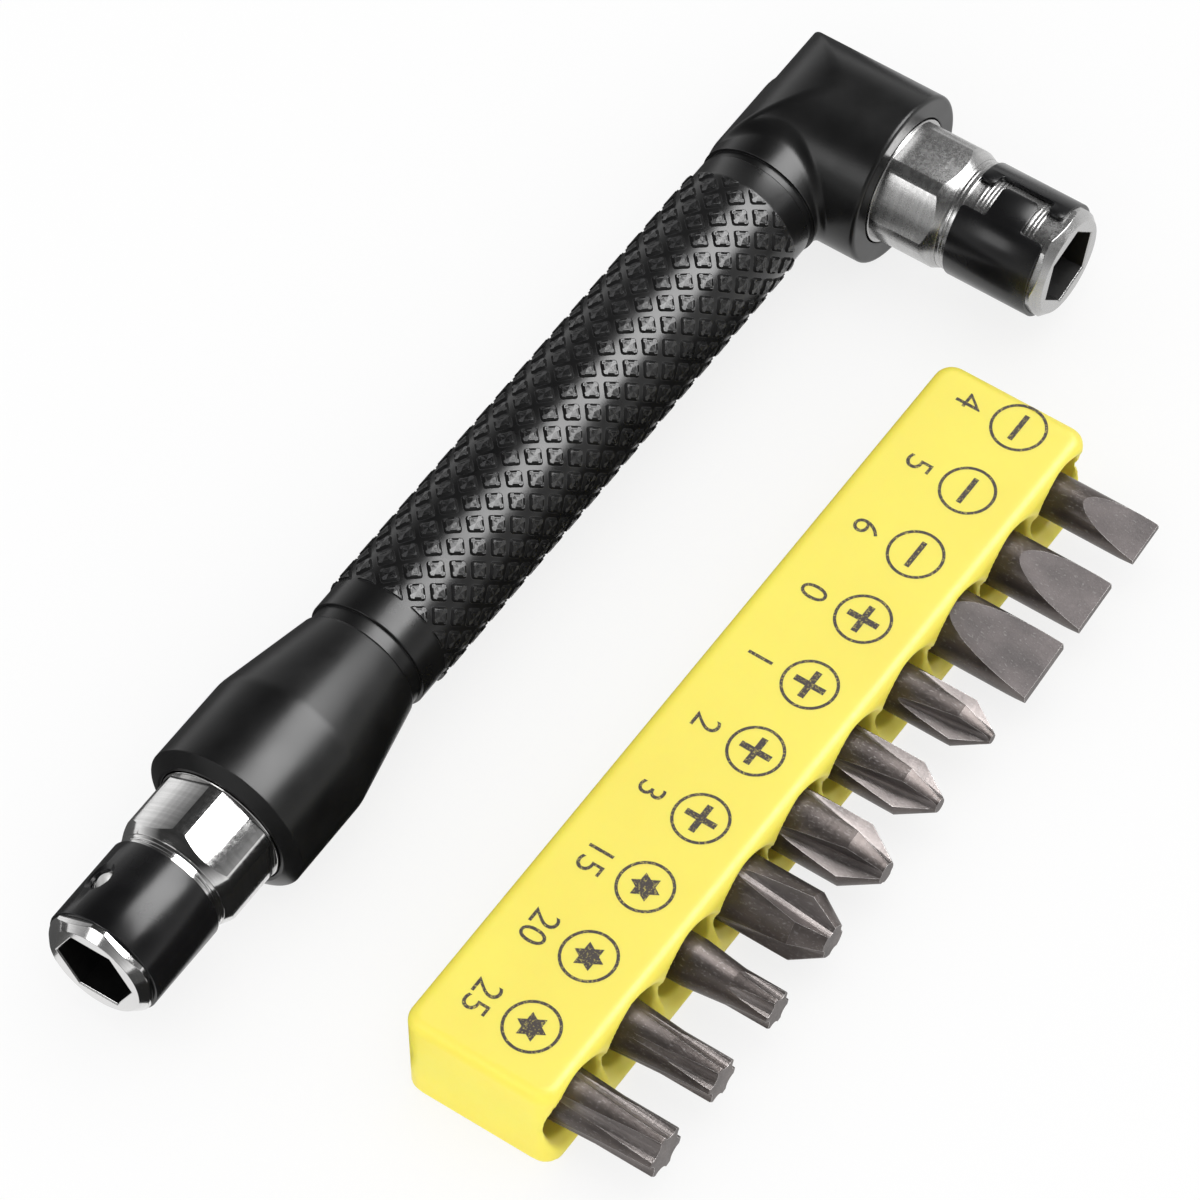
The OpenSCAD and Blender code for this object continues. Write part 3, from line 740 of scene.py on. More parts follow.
def groove_run(start, end, radius, depth, pitch):
    """Outline points of fine turned grooves along a cylinder."""
    count = int((end - start) / pitch)
    points = []
    for index in range(count):
        at = start + index * pitch
        points += [(radius, -at), (radius, -at - pitch * LAND_SHARE),
                   (radius - depth, -at - pitch * WALL_SHARE), (radius - depth, -at - pitch * FLOOR_SHARE)]
    return points


def ball_turn(end):
    """Turn of a socket's ball about its axis, counted as the outer hexagons' turn is."""
    x, y, z = JOINTS[end + "_ball_press"]["axis"]
    return math.atan2(z, x) if end == "straight" else math.atan2(y, -z)


def ball_place(turn=0):
    """Where a shape along +Z lies on the ball's axis, in a socket's own frame."""
    return (Matrix.Translation((0, 0, -BALL_DEPTH)) @ Matrix.Rotation(turn, 4, "Z")
            @ Matrix.Rotation(math.radians(90), 4, "Y"))


def socket_shape(s, end):
    """A socket in its own frame, with its bore's faces in the second material slot."""
    band_end = LIP_LEN + BAND_LEN
    shoulder_end = band_end + s.shoulder_len
    collar_start = shoulder_end + s.nose_len
    outer = Matrix.Rotation(s.outer_turn - ball_turn(end), 4, "Z")
    lip = turned([(0, 0), (s.face_r, 0), (s.lip_r, -s.cone_len), (s.lip_r, -LIP_LEN), (0, -LIP_LEN)])
    lip = carved(lip, moved(crowned(HEX_SIDES, s.lip_af, -LIP_LEN - MM, MM, s.crown), outer), "INTERSECT")
    outline = [(0, -LIP_LEN / 2), (s.face_r, -LIP_LEN / 2), (s.face_r, -LIP_LEN), (s.barrel_r, -LIP_LEN)]
    for start, end_at in BARREL_GROOVES:
        outline += groove_run(start, end_at, s.barrel_r, s.groove_depth, s.groove_pitch)
    outline += [(s.barrel_r, -band_end), (s.shoulder_r, -band_end)]
    outline += groove_run(band_end + RING_GROOVES_FROM, shoulder_end, s.shoulder_r, RING_GROOVE_DEPTH,
                          RING_GROOVE_PITCH)
    outline += [(s.shoulder_r, -shoulder_end), (0, -shoulder_end)]
    barrel = carved(turned(outline), lip, "UNION")
    barrel = carved(barrel, prism(HEX_SIDES, s.bore_af, -s.bore_depth, MM))
    mouth = prism(HEX_SIDES, s.bore_af, -s.mouth_chamfer, s.mouth_chamfer)
    bmesh.ops.scale(mouth, verts=[vert for vert in mouth.verts if vert.co.z > 0],
                    vec=(1 + 4 * s.mouth_chamfer / s.bore_af, 1 + 4 * s.mouth_chamfer / s.bore_af, 1))
    barrel = carved(barrel, mouth)
    barrel = carved(barrel, moved(rod(s.ball_hole_r, 2 * MM, 6 * MM, 32), ball_place()))
    for face in barrel.faces:
        centre = face.calc_center_median()
        reach = math.hypot(centre.x, centre.y)
        face.material_index = int(reach < s.face_r * 0.86 and centre.z < -0.8 * s.mouth_chamfer)
    collar = turned(rounded([
        (0, -shoulder_end, 0), (s.nose_r, -shoulder_end, s.edge), (s.collar_r, -collar_start, 0.2 * MM),
        (s.collar_r, -s.collar_end, 0), (0, -s.collar_end, 0),
    ], 3))
    hexagon = moved(crowned(HEX_SIDES, s.collar_af, -s.collar_end - MM, 0, s.crown), outer)
    collar = carved(collar, hexagon, "INTERSECT")
    foot = BODY_DEPTH[end] - s.flange_len
    collar = carved(collar, turned(rounded([
        (0, -foot, 0), (s.flange_r, -foot, 0.1 * MM),
        (s.flange_r, -s.collar_end, 0), (0, -s.collar_end, 0),
    ], 4)), "UNION")
    for face in collar.faces:
        face.material_index = 0
    return joined(broken_edges(barrel, s.edge), broken_edges(collar, s.edge * 1.6, 12))


def band_outline(b):
    """The flat outline of a spring band: angle times radius against depth from the mouth."""
    radius = b.outer_r
    plain = b.slit_turn + b.slit_gap / 2
    hook = b.slit_turn - b.slit_gap / 2 + 2 * math.pi
    recess = hook - b.recess
    tip = plain - b.tongue
    front, rear = LIP_LEN, LIP_LEN + BAND_LEN
    tongue_front = front + b.tongue_from
    tongue_rear = tongue_front + b.tongue_w
    recess_front = tongue_front - b.tongue_room
    recess_rear = tongue_rear + b.tongue_room
    r = b.corner
    corners = [
        (plain, front, r), (hook, front, r), (hook, recess_front, r), (recess, recess_front, r),
        (recess, recess_rear, r), (hook, recess_rear, r), (hook, rear, r), (plain, rear, r),
        (plain, tongue_rear, r / 2), (tip, tongue_rear, r), (tip, tongue_front, r),
        (plain, tongue_front, r / 2),
    ]
    return rounded([(angle * radius, depth, corner) for angle, depth, corner in corners], 4)


def band_shape(b):
    """A spring band in its socket's frame: a flat sheet with a bevelled edge, rolled up."""
    bm = bmesh.new()
    sheet = bm.faces.new([bm.verts.new((x, y, 0)) for x, y in band_outline(b)])
    if sheet.normal.z < 0:
        sheet.normal_flip()
    low, high = min(v.co.x for v in bm.verts), max(v.co.x for v in bm.verts)
    thickened(bm, [sheet], (0, 0, b.sheet))
    rims = [edge for edge in bm.edges if abs(edge.verts[0].co.z - edge.verts[1].co.z) < 0.1 * b.sheet]
    rounded_edges(bm, rims, b.sheet_edge)
    for index in range(1, BAND_SLICES):
        place = low + (high - low) * index / BAND_SLICES
        bmesh.ops.bisect_plane(bm, geom=bm.verts[:] + bm.edges[:] + bm.faces[:],
                               plane_co=(place, 0, 0), plane_no=(1, 0, 0), dist=MERGE)
    for vert in bm.verts:
        angle = vert.co.x / b.outer_r
        radius = b.outer_r - b.sheet + vert.co.z
        vert.co = (radius * math.cos(angle), radius * math.sin(angle), -vert.co.y)
    bmesh.ops.recalc_face_normals(bm, faces=bm.faces)
    window = turned([(0, b.outer_r - 2 * b.sheet), (b.window_r, b.outer_r - 2 * b.sheet),
                     (b.window_r, b.outer_r - 0.6 * b.sheet), (b.window_flare, b.outer_r + 0.06 * MM),
                     (b.window_flare, b.outer_r + 2 * b.sheet), (0, b.outer_r + 2 * b.sheet)], 40)
    return carved(bm, moved(window, ball_place(b.window_turn)))


def nose_shape(b):
    """The nose cone, turned, with its seat for the collar and its groove."""
    round_end = NOSE_FROM + b.round_len
    taper_end = round_end + b.taper_len
    outline = rounded([
        (0, NOSE_FROM + b.seat_depth, 0), (b.seat_r, NOSE_FROM + b.seat_depth, 0.12 * MM),
        (b.seat_r, NOSE_FROM, 0.06 * MM), (NOSE_R - b.cone_w, NOSE_FROM, 0.06 * MM),
        (NOSE_R, NOSE_FROM + b.cone_len, 0.12 * MM), (NOSE_R - 0.04 * MM, round_end, 5 * MM),
        (b.taper_r, taper_end, 0.35 * MM), (b.groove_r, taper_end + 0.12 * MM, 0.1 * MM),
        (b.groove_r, NOSE_TO, 0), (0, NOSE_TO, 0),
    ], 8)
    return turned(outline, ROUND_STEPS)


def pad_shape(side, slope, rise):
    """One knurl pad on a flat sheet: a square with sloping sides and a low dome in a dish."""
    bm = block((-side / 2, -side / 2, -rise), (side / 2, side / 2, rise * 0.05))
    rounded_edges(bm, uprights(bm, rise), side * 0.16)
    top = [face for face in bm.faces if face.normal.z > 0.9]
    insets = [(slope, PAD_SLOPE_LIFT)] + [(side * share, lift) for share, lift in PAD_INSETS]
    for width, lift in insets:
        rim = bmesh.ops.inset_region(bm, faces=top, thickness=width, depth=0)["faces"]
        for face in rim:
            face.material_index = int(width == slope)
        inner = list({vert for face in top for vert in face.verts})
        bmesh.ops.translate(bm, verts=inner, vec=(0, 0, rise * lift))
    bmesh.ops.poke(bm, faces=top, offset=rise * PAD_DOME)
    return bm


def knurl_shape(b):
    """The knurl's pads on a flat sheet, cut off at both ends and wrapped round the grip."""
    start, end = SLEEVE_FROM + b.ring_len, SLEEVE_TO - b.far_ring_len
    step = 2 * math.pi * b.ring_r / b.pads_round
    side = step / math.sqrt(2) * b.pad_share
    rise = GRIP_R - b.ring_r
    turn = Matrix.Rotation(math.radians(45), 4, "Z")
    one = bpy.data.meshes.new("pad")
    shape = pad_shape(side, b.pad_slope, rise)
    shape.to_mesh(one)
    shape.free()
    rows = int((end - start) / step) + 2
    sheet = bmesh.new()
    for row in range(-1, 2 * rows):
        for column in range(b.pads_round):
            shift = Vector(((column + 0.5 * (row % 2)) * step, start + row * step / 2, 0))
            known = len(sheet.verts)
            sheet.from_mesh(one)
            sheet.verts.ensure_lookup_table()
            bmesh.ops.transform(sheet, matrix=Matrix.Translation(shift) @ turn, verts=sheet.verts[known:])
    bpy.data.meshes.remove(one)
    for place, normal in ((start, -1), (end, 1)):
        cut_off(sheet, (0, place, 0), (0, normal, 0))
    for vert in sheet.verts:
        angle = vert.co.x / b.ring_r
        radius = b.ring_r + vert.co.z
        vert.co = (radius * math.cos(angle), vert.co.y, -radius * math.sin(angle))
    bmesh.ops.recalc_face_normals(sheet, faces=sheet.faces)
    return sheet


def grip_shape(b):
    """The grip's turned sleeve, with a plain ring at each end."""
    soft = 0.12 * MM
    far = SLEEVE_TO - b.far_ring_len
    outline = rounded([
        (0, SLEEVE_FROM, 0), (b.ring_r - 0.02 * MM, SLEEVE_FROM, soft), (b.ring_r, far, 0),
        (b.ring_r, far + 0.25 * MM, 0), (b.ring_r - 0.05 * MM, far + 0.35 * MM, 0),
        (b.ring_r - 0.05 * MM, SLEEVE_TO, soft), (0, SLEEVE_TO, 0),
    ], 3)
    return moved(turned(outline, ROUND_STEPS), handle_place())


def head_distance(b):
    """Distance to the head's surface, in millimetres, for an array of points."""
    axis_y, radius = HANDLE_END / MM, HEAD_R / MM
    shift, front = b.back_shift / MM, HEAD_FRONT / MM
    neck, crease, fillet, rim = b.neck_r / MM, b.crease / MM, b.neck_fillet / MM, b.rim / MM
    seat_r, seat = b.seat_r / MM, b.seat_depth / MM

    def distance(p):
        x, y, z = p[:, 0], p[:, 1] - axis_y, p[:, 2]
        barrel = np.hypot(y, z) - radius
        past = x - shift
        behind = np.hypot(np.minimum(past, 0), z) - radius - 0.5 * np.maximum(past, 0)
        spread = np.hypot(np.minimum(past, 0), y) / (0.4 * radius)
        back = round_max(barrel, behind, crease * np.clip(spread, 0.05, 1))
        body = round_max(back, x - front, rim)
        stem = np.maximum(np.hypot(x, z) - neck, y)
        whole = round_min(body, stem, fillet)
        seat_wall = seat_r - np.hypot(y, z)
        recess = np.maximum(-seat_wall, front - seat - x)
        return round_max(whole, -recess, 0.1)

    return distance


def head_shape(b):
    """The head: a cylinder with a rounded back, blended into the neck."""
    across = 64
    long_x = Matrix.Rotation(math.radians(90), 4, "Y")
    barrel = moved(rod(HEAD_R, HEAD_BACK - 2 * MM, HEAD_FRONT, 128),
                   Matrix.Translation((0, HANDLE_END, 0)) @ long_x)
    limit = bmesh.new()
    turns = [math.pi * index / across for index in range(across + 1)]
    arc = [(b.back_shift - HEAD_R * math.sin(turn), -HEAD_R * math.cos(turn)) for turn in turns]
    outline = [(HEAD_FRONT + MM, -HEAD_R - MM), (b.back_shift, -HEAD_R - MM)] + arc
    outline += [(b.back_shift, HEAD_R + MM), (HEAD_FRONT + MM, HEAD_R + MM)]
    sheet = limit.faces.new([limit.verts.new((x, HANDLE_END - 2 * HEAD_R, z)) for x, z in outline])
    thickened(limit, [sheet], (0, 4 * HEAD_R, 0))
    body = carved(barrel, limit, "INTERSECT")
    neck_start = SLEEVE_TO + b.neck_groove_len
    stem = moved(rod(b.neck_r, neck_start - MM, HANDLE_END, 96), handle_place())
    seat = moved(rod(b.seat_r, HEAD_FRONT - b.seat_depth, HEAD_FRONT + MM, 96),
                 Matrix.Translation((0, HANDLE_END, 0)) @ long_x)
    body = carved(body, seat)
    fine = modified(joined(body, stem), "REMESH", mode="VOXEL", voxel_size=b.voxel)
    settled(fine, head_distance(b), 8)
    cut_off(fine, (0, neck_start, 0), (0, -1, 0))
    ring = rounded([(0, SLEEVE_TO, 0), (b.neck_groove_r, SLEEVE_TO, 0), (b.neck_groove_r, neck_start, 0),
                    (0, neck_start, 0)])
    return joined(fine, moved(turned(ring), handle_place()))


def strip_distance(s):
    """Distance to the strip's surface, in millimetres, for an array of points."""
    low, high = np.array(STRIP_LOW) / MM, np.array(STRIP_HIGH) / MM
    middle, half = (low + high) / 2, (high - low) / 2
    corner, top, foot, soft = s.corner / MM, s.top_edge / MM, s.foot_edge / MM, s.mouth_edge / MM
    hole_r, depth, flare = s.hole_r / MM, s.hole_depth / MM, s.mouth_len / MM
    spread = (s.mouth_r - s.hole_r) / s.mouth_len
    ys, bit_z = [y / MM for y in BIT_Y], BIT_Z / MM

    def distance(p):
        q = np.abs(p[:, :2] - middle[:2]) - (half[:2] - corner)
        outside = np.hypot(np.maximum(q[:, 0], 0), np.maximum(q[:, 1], 0))
        wall = outside + np.minimum(q.max(axis=1), 0) - corner
        solid = round_max(round_max(wall, p[:, 2] - high[2], top), low[2] - p[:, 2], foot)
        inward = high[0] - p[:, 0]
        reach = hole_r + spread * np.maximum(flare - inward, 0)
        hollow = np.full(len(p), 1e3)
        for y in ys:
            hollow = round_min(hollow, np.hypot(p[:, 1] - y, p[:, 2] - bit_z) - reach, soft / 2)
        hollow = np.maximum(hollow, inward - depth)
        return round_max(solid, -hollow, soft)

    return distance


def strip_shape(s):
    """The strip: a block with round edges and ten flared holes."""
    bm = block(STRIP_LOW, STRIP_HIGH)
    rounded_edges(bm, uprights(bm, s.corner), s.corner, 6)
    rim = [edge for edge in bm.edges if min(vert.co.z for vert in edge.verts) > STRIP_HIGH.z - 0.1 * MM]
    rounded_edges(bm, rim, s.top_edge, 5)
    face = STRIP_HIGH.x
    for y in BIT_Y:
        hole = turned([(0, -s.hole_depth), (s.hole_r, -s.hole_depth), (s.hole_r, -s.mouth_len),
                       (s.mouth_r, 0), (s.mouth_r, MM), (0, MM)], 48)
        moved(hole, Matrix.Translation((face, y, BIT_Z)) @ Matrix.Rotation(math.radians(90), 4, "Y"))
        bm = carved(bm, hole)
    fine = modified(bm, "REMESH", mode="VOXEL", voxel_size=s.voxel)
    return settled(fine, strip_distance(s), 6)


def bit_place(index, roll):
    """A bit's own frame: its rear end at the origin and its tip along +Z."""
    return (Matrix.Translation((BIT_REAR, BIT_Y[index], BIT_Z)) @ Matrix.Rotation(roll, 4, "X")
            @ Matrix.Rotation(math.radians(90), 4, "Y"))


def bit_blank(b, neck_r, tip):
    """A bit's turned blank with its hexagon shank. The tip is a list of (radius, height)."""
    corner = b.af / 2 / math.cos(HEX_HALF)
    dip = b.notch_in + b.notch_r
    reach = math.acos((dip - corner) / b.notch_r)
    notch = [(dip - b.notch_r * math.cos(reach * share), b.notch_at + b.notch_r * math.sin(reach * share))
             for share in (-1, -0.6, -0.2, 0.2, 0.6, 1)]
    outline = [(0, 0), (corner - b.chamfer, 0), (corner, b.chamfer)] + notch
    outline += [(corner, b.hex_len), (neck_r, b.hex_len + b.cone_len)] + tip + [(0, BIT_LEN)]
    return carved(turned(outline, 72), prism(HEX_SIDES, b.af, -MM, BIT_LEN + MM), "INTERSECT")


def ground_faces(bm, outline):
    """Gives the faces that lie inside the turned outline the second material."""
    radii, heights = zip(*outline)
    for face in bm.faces:
        centre = face.calc_center_median()
        skin = np.interp(centre.z, heights, radii)
        face.material_index = int(heights[0] < centre.z < BIT_LEN - 0.02 * MM
                                  and centre.xy.length < skin - 0.06 * MM)
    return bm


def slot_bit(b, width, thick, flat):
    """A slotted bit: two ground flats on a round neck."""
    radius = width / 2
    bm = bit_blank(b, radius, [(radius, BIT_LEN)])
    slope = math.atan((radius - thick / 2) / flat)
    for side in (1, -1):
        cut_off(bm, (side * thick / 2, 0, BIT_LEN), (side * math.cos(slope), 0, math.sin(slope)))
    return ground_faces(broken_edges(bm, b.edge), [(radius, BIT_LEN - 1.6 * flat), (radius, BIT_LEN)])


def cross_bit(b, neck, tip, lean=0.62, web=0.3, run=2.1):
    """A cross bit: four flutes that run out along the neck, on a pointed tip."""
    cone = (neck - tip) / 2 / lean
    bm = bit_blank(b, neck / 2, [(neck / 2, BIT_LEN - cone), (tip / 2, BIT_LEN)])
    low = tip * web
    neck_len = BIT_LEN - b.hex_len - b.cone_len
    slope = math.atan((neck / 2 - low) / min(neck * run, neck_len))
    for quarter in range(4):
        cutter = block((0, 0, -neck_len), (neck, neck, MM))
        wedge = [edge for edge in cutter.edges
                 if sum(vert.co.xy.length for vert in edge.verts) < 0.01 * MM]
        rounded_edges(cutter, wedge, 0.12 * neck, 5)
        tilt = (Matrix.Rotation(math.radians(90 * quarter), 4, "Z") @ Matrix.Translation((0, 0, BIT_LEN))
                @ Matrix.Rotation(math.radians(45), 4, "Z") @ Matrix.Translation((low, 0, 0))
                @ Matrix.Rotation(-slope, 4, "Y") @ Matrix.Rotation(math.radians(-45), 4, "Z"))
        bm = carved(bm, moved(cutter, tilt))
    return ground_faces(broken_edges(bm, b.edge), [
        (neck / 2, b.hex_len + b.cone_len), (neck / 2, BIT_LEN - cone), (tip / 2, BIT_LEN)])


def lobe_bit(b, tip, neck, groove=0.24, deep=0.27, reach=1.2):
    """A six-lobe bit: six round grooves that run out where the neck widens."""
    length = tip * reach
    bm = bit_blank(b, neck / 2, rounded([
        (neck / 2, b.hex_len + b.cone_len, 0), (neck / 2, BIT_LEN - 2 * length, 3 * MM),
        (tip / 2, BIT_LEN - length, 3 * MM), (tip / 2, BIT_LEN, 0.12 * MM), (0, BIT_LEN, 0),
    ], 5)[1:-1])
    low = tip / 2 - tip * deep / 2
    neck_len = BIT_LEN - b.hex_len - b.cone_len
    slope = math.atan((neck / 2 - low) / (2 * length))
    for lobe in range(6):
        cutter = rod(tip * groove, -neck_len, MM, 28)
        tilt = (Matrix.Rotation(math.radians(60 * lobe + 30), 4, "Z")
                @ Matrix.Translation((low + tip * groove, 0, BIT_LEN)) @ Matrix.Rotation(-slope, 4, "Y"))
        bm = carved(bm, moved(cutter, tilt))
    return ground_faces(broken_edges(bm, b.edge), [
        (neck / 2, b.hex_len + b.cone_len), (neck / 2, BIT_LEN - 2 * length), (tip / 2, BIT_LEN - length),
        (tip / 2, BIT_LEN)])


# Print on the strip

FIGURE_SHARE = 0.72


def ink_sheet(outline):
    """A flat outline as print with its thickness."""
    bm = bmesh.new()
    bm.faces.new([bm.verts.new((x, y, 0)) for x, y in outline])
    bmesh.ops.recalc_face_normals(bm, faces=bm.faces)
    return thickened(bm, bm.faces[:], (0, 0, INK_H))


def ring_print(s):
    """A thin printed ring."""
    outline = [(s.ring_r - s.line / 2, 0), (s.ring_r + s.line / 2, 0), (s.ring_r + s.line / 2, INK_H),
               (s.ring_r - s.line / 2, INK_H)]
    return turned(outline, 72)


def bar(half_w, half_h):
    """A rectangle's outline."""
    return [(-half_w, -half_h), (half_w, -half_h), (half_w, half_h), (-half_w, half_h)]


def symbol_print(s, kind):
    """The sign in a ring: a bar, a cross or a six-point star. Its +Y looks at the bits."""
    reach = s.ring_r * 0.62
    if kind == "slot":
        return ink_sheet(bar(reach, reach * 0.16))
    if kind == "cross":
        thin = reach * 0.2
        outline = []
        for quarter in range(4):
            turn = Matrix.Rotation(math.radians(90 * quarter), 2)
            outline += [tuple(turn @ Vector(p)) for p in ((reach, -thin), (reach, thin), (thin, thin))]
        return ink_sheet(outline)
    star = []
    for point in range(12):
        radius = reach * (0.95 if point % 2 == 0 else 0.56)
        angle = math.radians(90 + 30 * point)
        star.append((radius * math.cos(angle), radius * math.sin(angle)))
    return ink_sheet(star)


def number_print(s, words):
    """Plain figures as print, centred, with their tops towards +Y."""
    curve = bpy.data.curves.new("figures", "FONT")
    curve.body = words
    curve.size = s.number_h / FIGURE_SHARE
    curve.align_x = "CENTER"
    curve.align_y = "CENTER"
    curve.offset = -s.figure_thin
    curve.extrude = INK_H / 2
    curve.resolution_u = 5
    holder = bpy.data.objects.new("figures", curve)
    bpy.context.scene.collection.objects.link(holder)
    bm = bmesh.new()
    bm.from_mesh(holder.evaluated_get(bpy.context.evaluated_depsgraph_get()).to_mesh())
    bpy.data.objects.remove(holder)
    bpy.data.curves.remove(curve)
    return moved(bm, Matrix.Translation((0, 0, INK_H / 2)))


def strip_print(s):
    """All rings, signs and figures, on the strip's top face."""
    upright = Matrix.Rotation(math.radians(-90), 4, "Z")
    parts = []
    for name, y in zip(BIT_NODES, BIT_Y):
        _, kind, number = name.split("_")
        ring_at, number_at = [
            Matrix.Translation((STRIP_HIGH.x - inward, y + s.print_shift, STRIP_HIGH.z)) @ upright
            for inward in (s.ring_from_face, s.number_from_face)]
        parts += [moved(ring_print(s), ring_at), moved(symbol_print(s, kind), ring_at),
                  moved(number_print(s, number), number_at)]
    return joined(*parts)


# Operators

class MATERIALS_OT_make(bpy.types.Operator):
    """Makes the materials and gives the kept CAD nodes theirs"""
    bl_idname = "screwdriver.materials"
    bl_label = "Materials"

    def execute(self, context):
        MATERIALS.update(make_materials(context.scene.screwdriver_finishes))
        kept = {"straight_detent_ball": "ball", "angle_detent_ball": "ball", "core_rod": "bore"}
        for name, material in kept.items():
            slots = frame["nodes"][name].data.materials
            slots.clear()
            slots.append(MATERIALS[material])
        return {"FINISHED"}


class SOCKETS_OT_make(bpy.types.Operator):
    """Makes the two plated sockets"""
    bl_idname = "screwdriver.sockets"
    bl_label = "Sockets"

    def execute(self, context):
        sizes = context.scene.screwdriver_sockets
        for end, axis in (("straight", "y"), ("angle", "x")):
            bm = moved(socket_shape(sizes, end), socket_place(end))
            piece(end + "_socket_turned", bm, [MATERIALS["plated_" + axis], MATERIALS["bore"]], "wrench",
                  [end + "_socket"], 11)
        return {"FINISHED"}


class BANDS_OT_make(bpy.types.Operator):
    """Makes the two black spring bands"""
    bl_idname = "screwdriver.bands"
    bl_label = "Spring bands"

    def execute(self, context):
        sizes = context.scene.screwdriver_bands
        for end in ("straight", "angle"):
            piece(end + "_band_rolled", moved(band_shape(sizes), socket_place(end)), MATERIALS["band"],
                  "wrench", [end + "_spring_band"], 30)
        return {"FINISHED"}


class NOSE_OT_make(bpy.types.Operator):
    """Makes the nose cone"""
    bl_idname = "screwdriver.nose"
    bl_label = "Nose cone"

    def execute(self, context):
        bm = moved(nose_shape(context.scene.screwdriver_body), handle_place())
        piece("nose_cone_casting", bm, MATERIALS["enamel"], "wrench", ["nose_cone"], 40)
        return {"FINISHED"}


class GRIP_OT_make(bpy.types.Operator):
    """Makes the knurled grip"""
    bl_idname = "screwdriver.grip"
    bl_label = "Knurled grip"

    def execute(self, context):
        sizes = context.scene.screwdriver_body
        bm = joined(grip_shape(sizes), knurl_shape(sizes))
        piece("knurled_grip", bm, [MATERIALS["grip"], MATERIALS["flank"]], "wrench",
              ["grip_sleeve"], 40)
        return {"FINISHED"}


class HEAD_OT_make(bpy.types.Operator):
    """Makes the head with its blended neck"""
    bl_idname = "screwdriver.head"
    bl_label = "Head"

    def execute(self, context):
        piece("elbow_casting", head_shape(context.scene.screwdriver_body), MATERIALS["enamel"], "wrench",
              ["elbow_head"], 60)
        return {"FINISHED"}


class STRIP_OT_make(bpy.types.Operator):
    """Makes the yellow strip and its print"""
    bl_idname = "screwdriver.strip"
    bl_label = "Bit strip"

    def execute(self, context):
        sizes = context.scene.screwdriver_strip
        piece("strip_moulding", strip_shape(sizes), MATERIALS["plastic"], "strip",
              ["bit_strip"], 60)
        piece("strip_print", strip_print(sizes), MATERIALS["ink"], "strip", (), 40)
        return {"FINISHED"}


class BITS_OT_make(bpy.types.Operator):
    """Makes the ten bits"""
    bl_idname = "screwdriver.bits"
    bl_label = "Bits"

    def execute(self, context):
        sizes = context.scene.screwdriver_bits
        makers = {"slot": slot_bit, "cross": cross_bit, "lobe": lobe_bit}
        for index, name in enumerate(BIT_NODES):
            _, kind, number = name.split("_")
            shape = makers[kind](sizes, *[value * MM for value in BIT_TABLE[name]])
            roll = sizes.last_cross_roll if name == "bit_cross_3" else sizes.roll
            ground = MATERIALS["bit_ground" if kind == "slot" else "bit_flute"]
            piece(name + "_steel", moved(shape, bit_place(index, roll)), [MATERIALS["bit"], ground],
                  kind + "_" + number + "_bit", [name], 12)
        return {"FINISHED"}


# Slotted: width, tip thickness, flats' length. Cross: neck, tip. Six-lobe: tip, neck. In millimetres.
BIT_TABLE = {
    "bit_slot_4": (4.1, 0.6, 6.0),
    "bit_slot_5": (5.1, 0.8, 7.2),
    "bit_slot_6": (6.0, 1.0, 9.0),
    "bit_cross_0": (4.4, 0.9),
    "bit_cross_1": (5.0, 1.3),
    "bit_cross_2": (5.8, 2.0),
    "bit_cross_3": (6.2, 3.0),
    "bit_lobe_15": (3.35, 4.3),
    "bit_lobe_20": (3.9, 4.6),
    "bit_lobe_25": (4.45, 5.0),
}


class StageSizes(bpy.types.PropertyGroup):
    """The camera, the floor and the lights."""
    azimuth: degrees("Azimuth", 35.48, "Turn of the camera round the object")
    elevation: degrees("Elevation", 54.76, "Height of the camera as an angle")
    roll: degrees("Roll", -1.0, "Turn of the camera about its own axis")
    distance: size("Distance", 541.5, "From the aim to the camera")
    aim_x: size("Aim X", 12.68, "Point that the camera looks at")
    aim_y: size("Aim Y", 52.39, "Point that the camera looks at")
    lens: amount("Lens", 196.65, "Focal length in millimetres")
    floor: size("Floor", 6000, "Width of the floor")
    key: amount("Key", 15.0, "Power of the reflected overhead box in watts")
    front: amount("Front", 1.0, "Power of the reflected front box in watts")
    fill: amount("Fill", 2.6, "Power of the soft overhead light in watts")
    side: amount("Side", 3.2, "Power of the soft light from the front in watts")
    world: amount("World", 0.82, "Light from all round")


def make_camera(stage):
    """The camera at the photograph's viewing angle."""
    data = bpy.data.cameras.new("camera")
    data.lens = stage.lens
    data.sensor_width = 36
    data.clip_start = 0.01
    data.clip_end = 20
    camera = bpy.data.objects.new("camera", data)
    bpy.context.scene.collection.objects.link(camera)
    level = math.cos(stage.elevation)
    back = Vector((math.sin(stage.azimuth) * level, -math.cos(stage.azimuth) * level,
                   math.sin(stage.elevation)))
    turn = (-back).to_track_quat("-Z", "Y").to_matrix() @ Matrix.Rotation(stage.roll, 3, "Z")
    aim = Vector((stage.aim_x, stage.aim_y, 0))
    camera.matrix_world = Matrix.Translation(aim + back * stage.distance) @ turn.to_4x4()
    bpy.context.scene.camera = camera


def seen_directly(tree):
    """1 for rays from the camera and from glossy or clear surfaces, and 0 for diffuse rays."""
    path = node(tree, "LightPath")
    first = node(tree, "Math", {0: path.outputs["Is Camera Ray"], 1: path.outputs["Is Glossy Ray"]},
                 operation="MAXIMUM")
    return node(tree, "Math", {0: first.outputs[0], 1: path.outputs["Is Transmission Ray"]},
                operation="MAXIMUM").outputs[0]


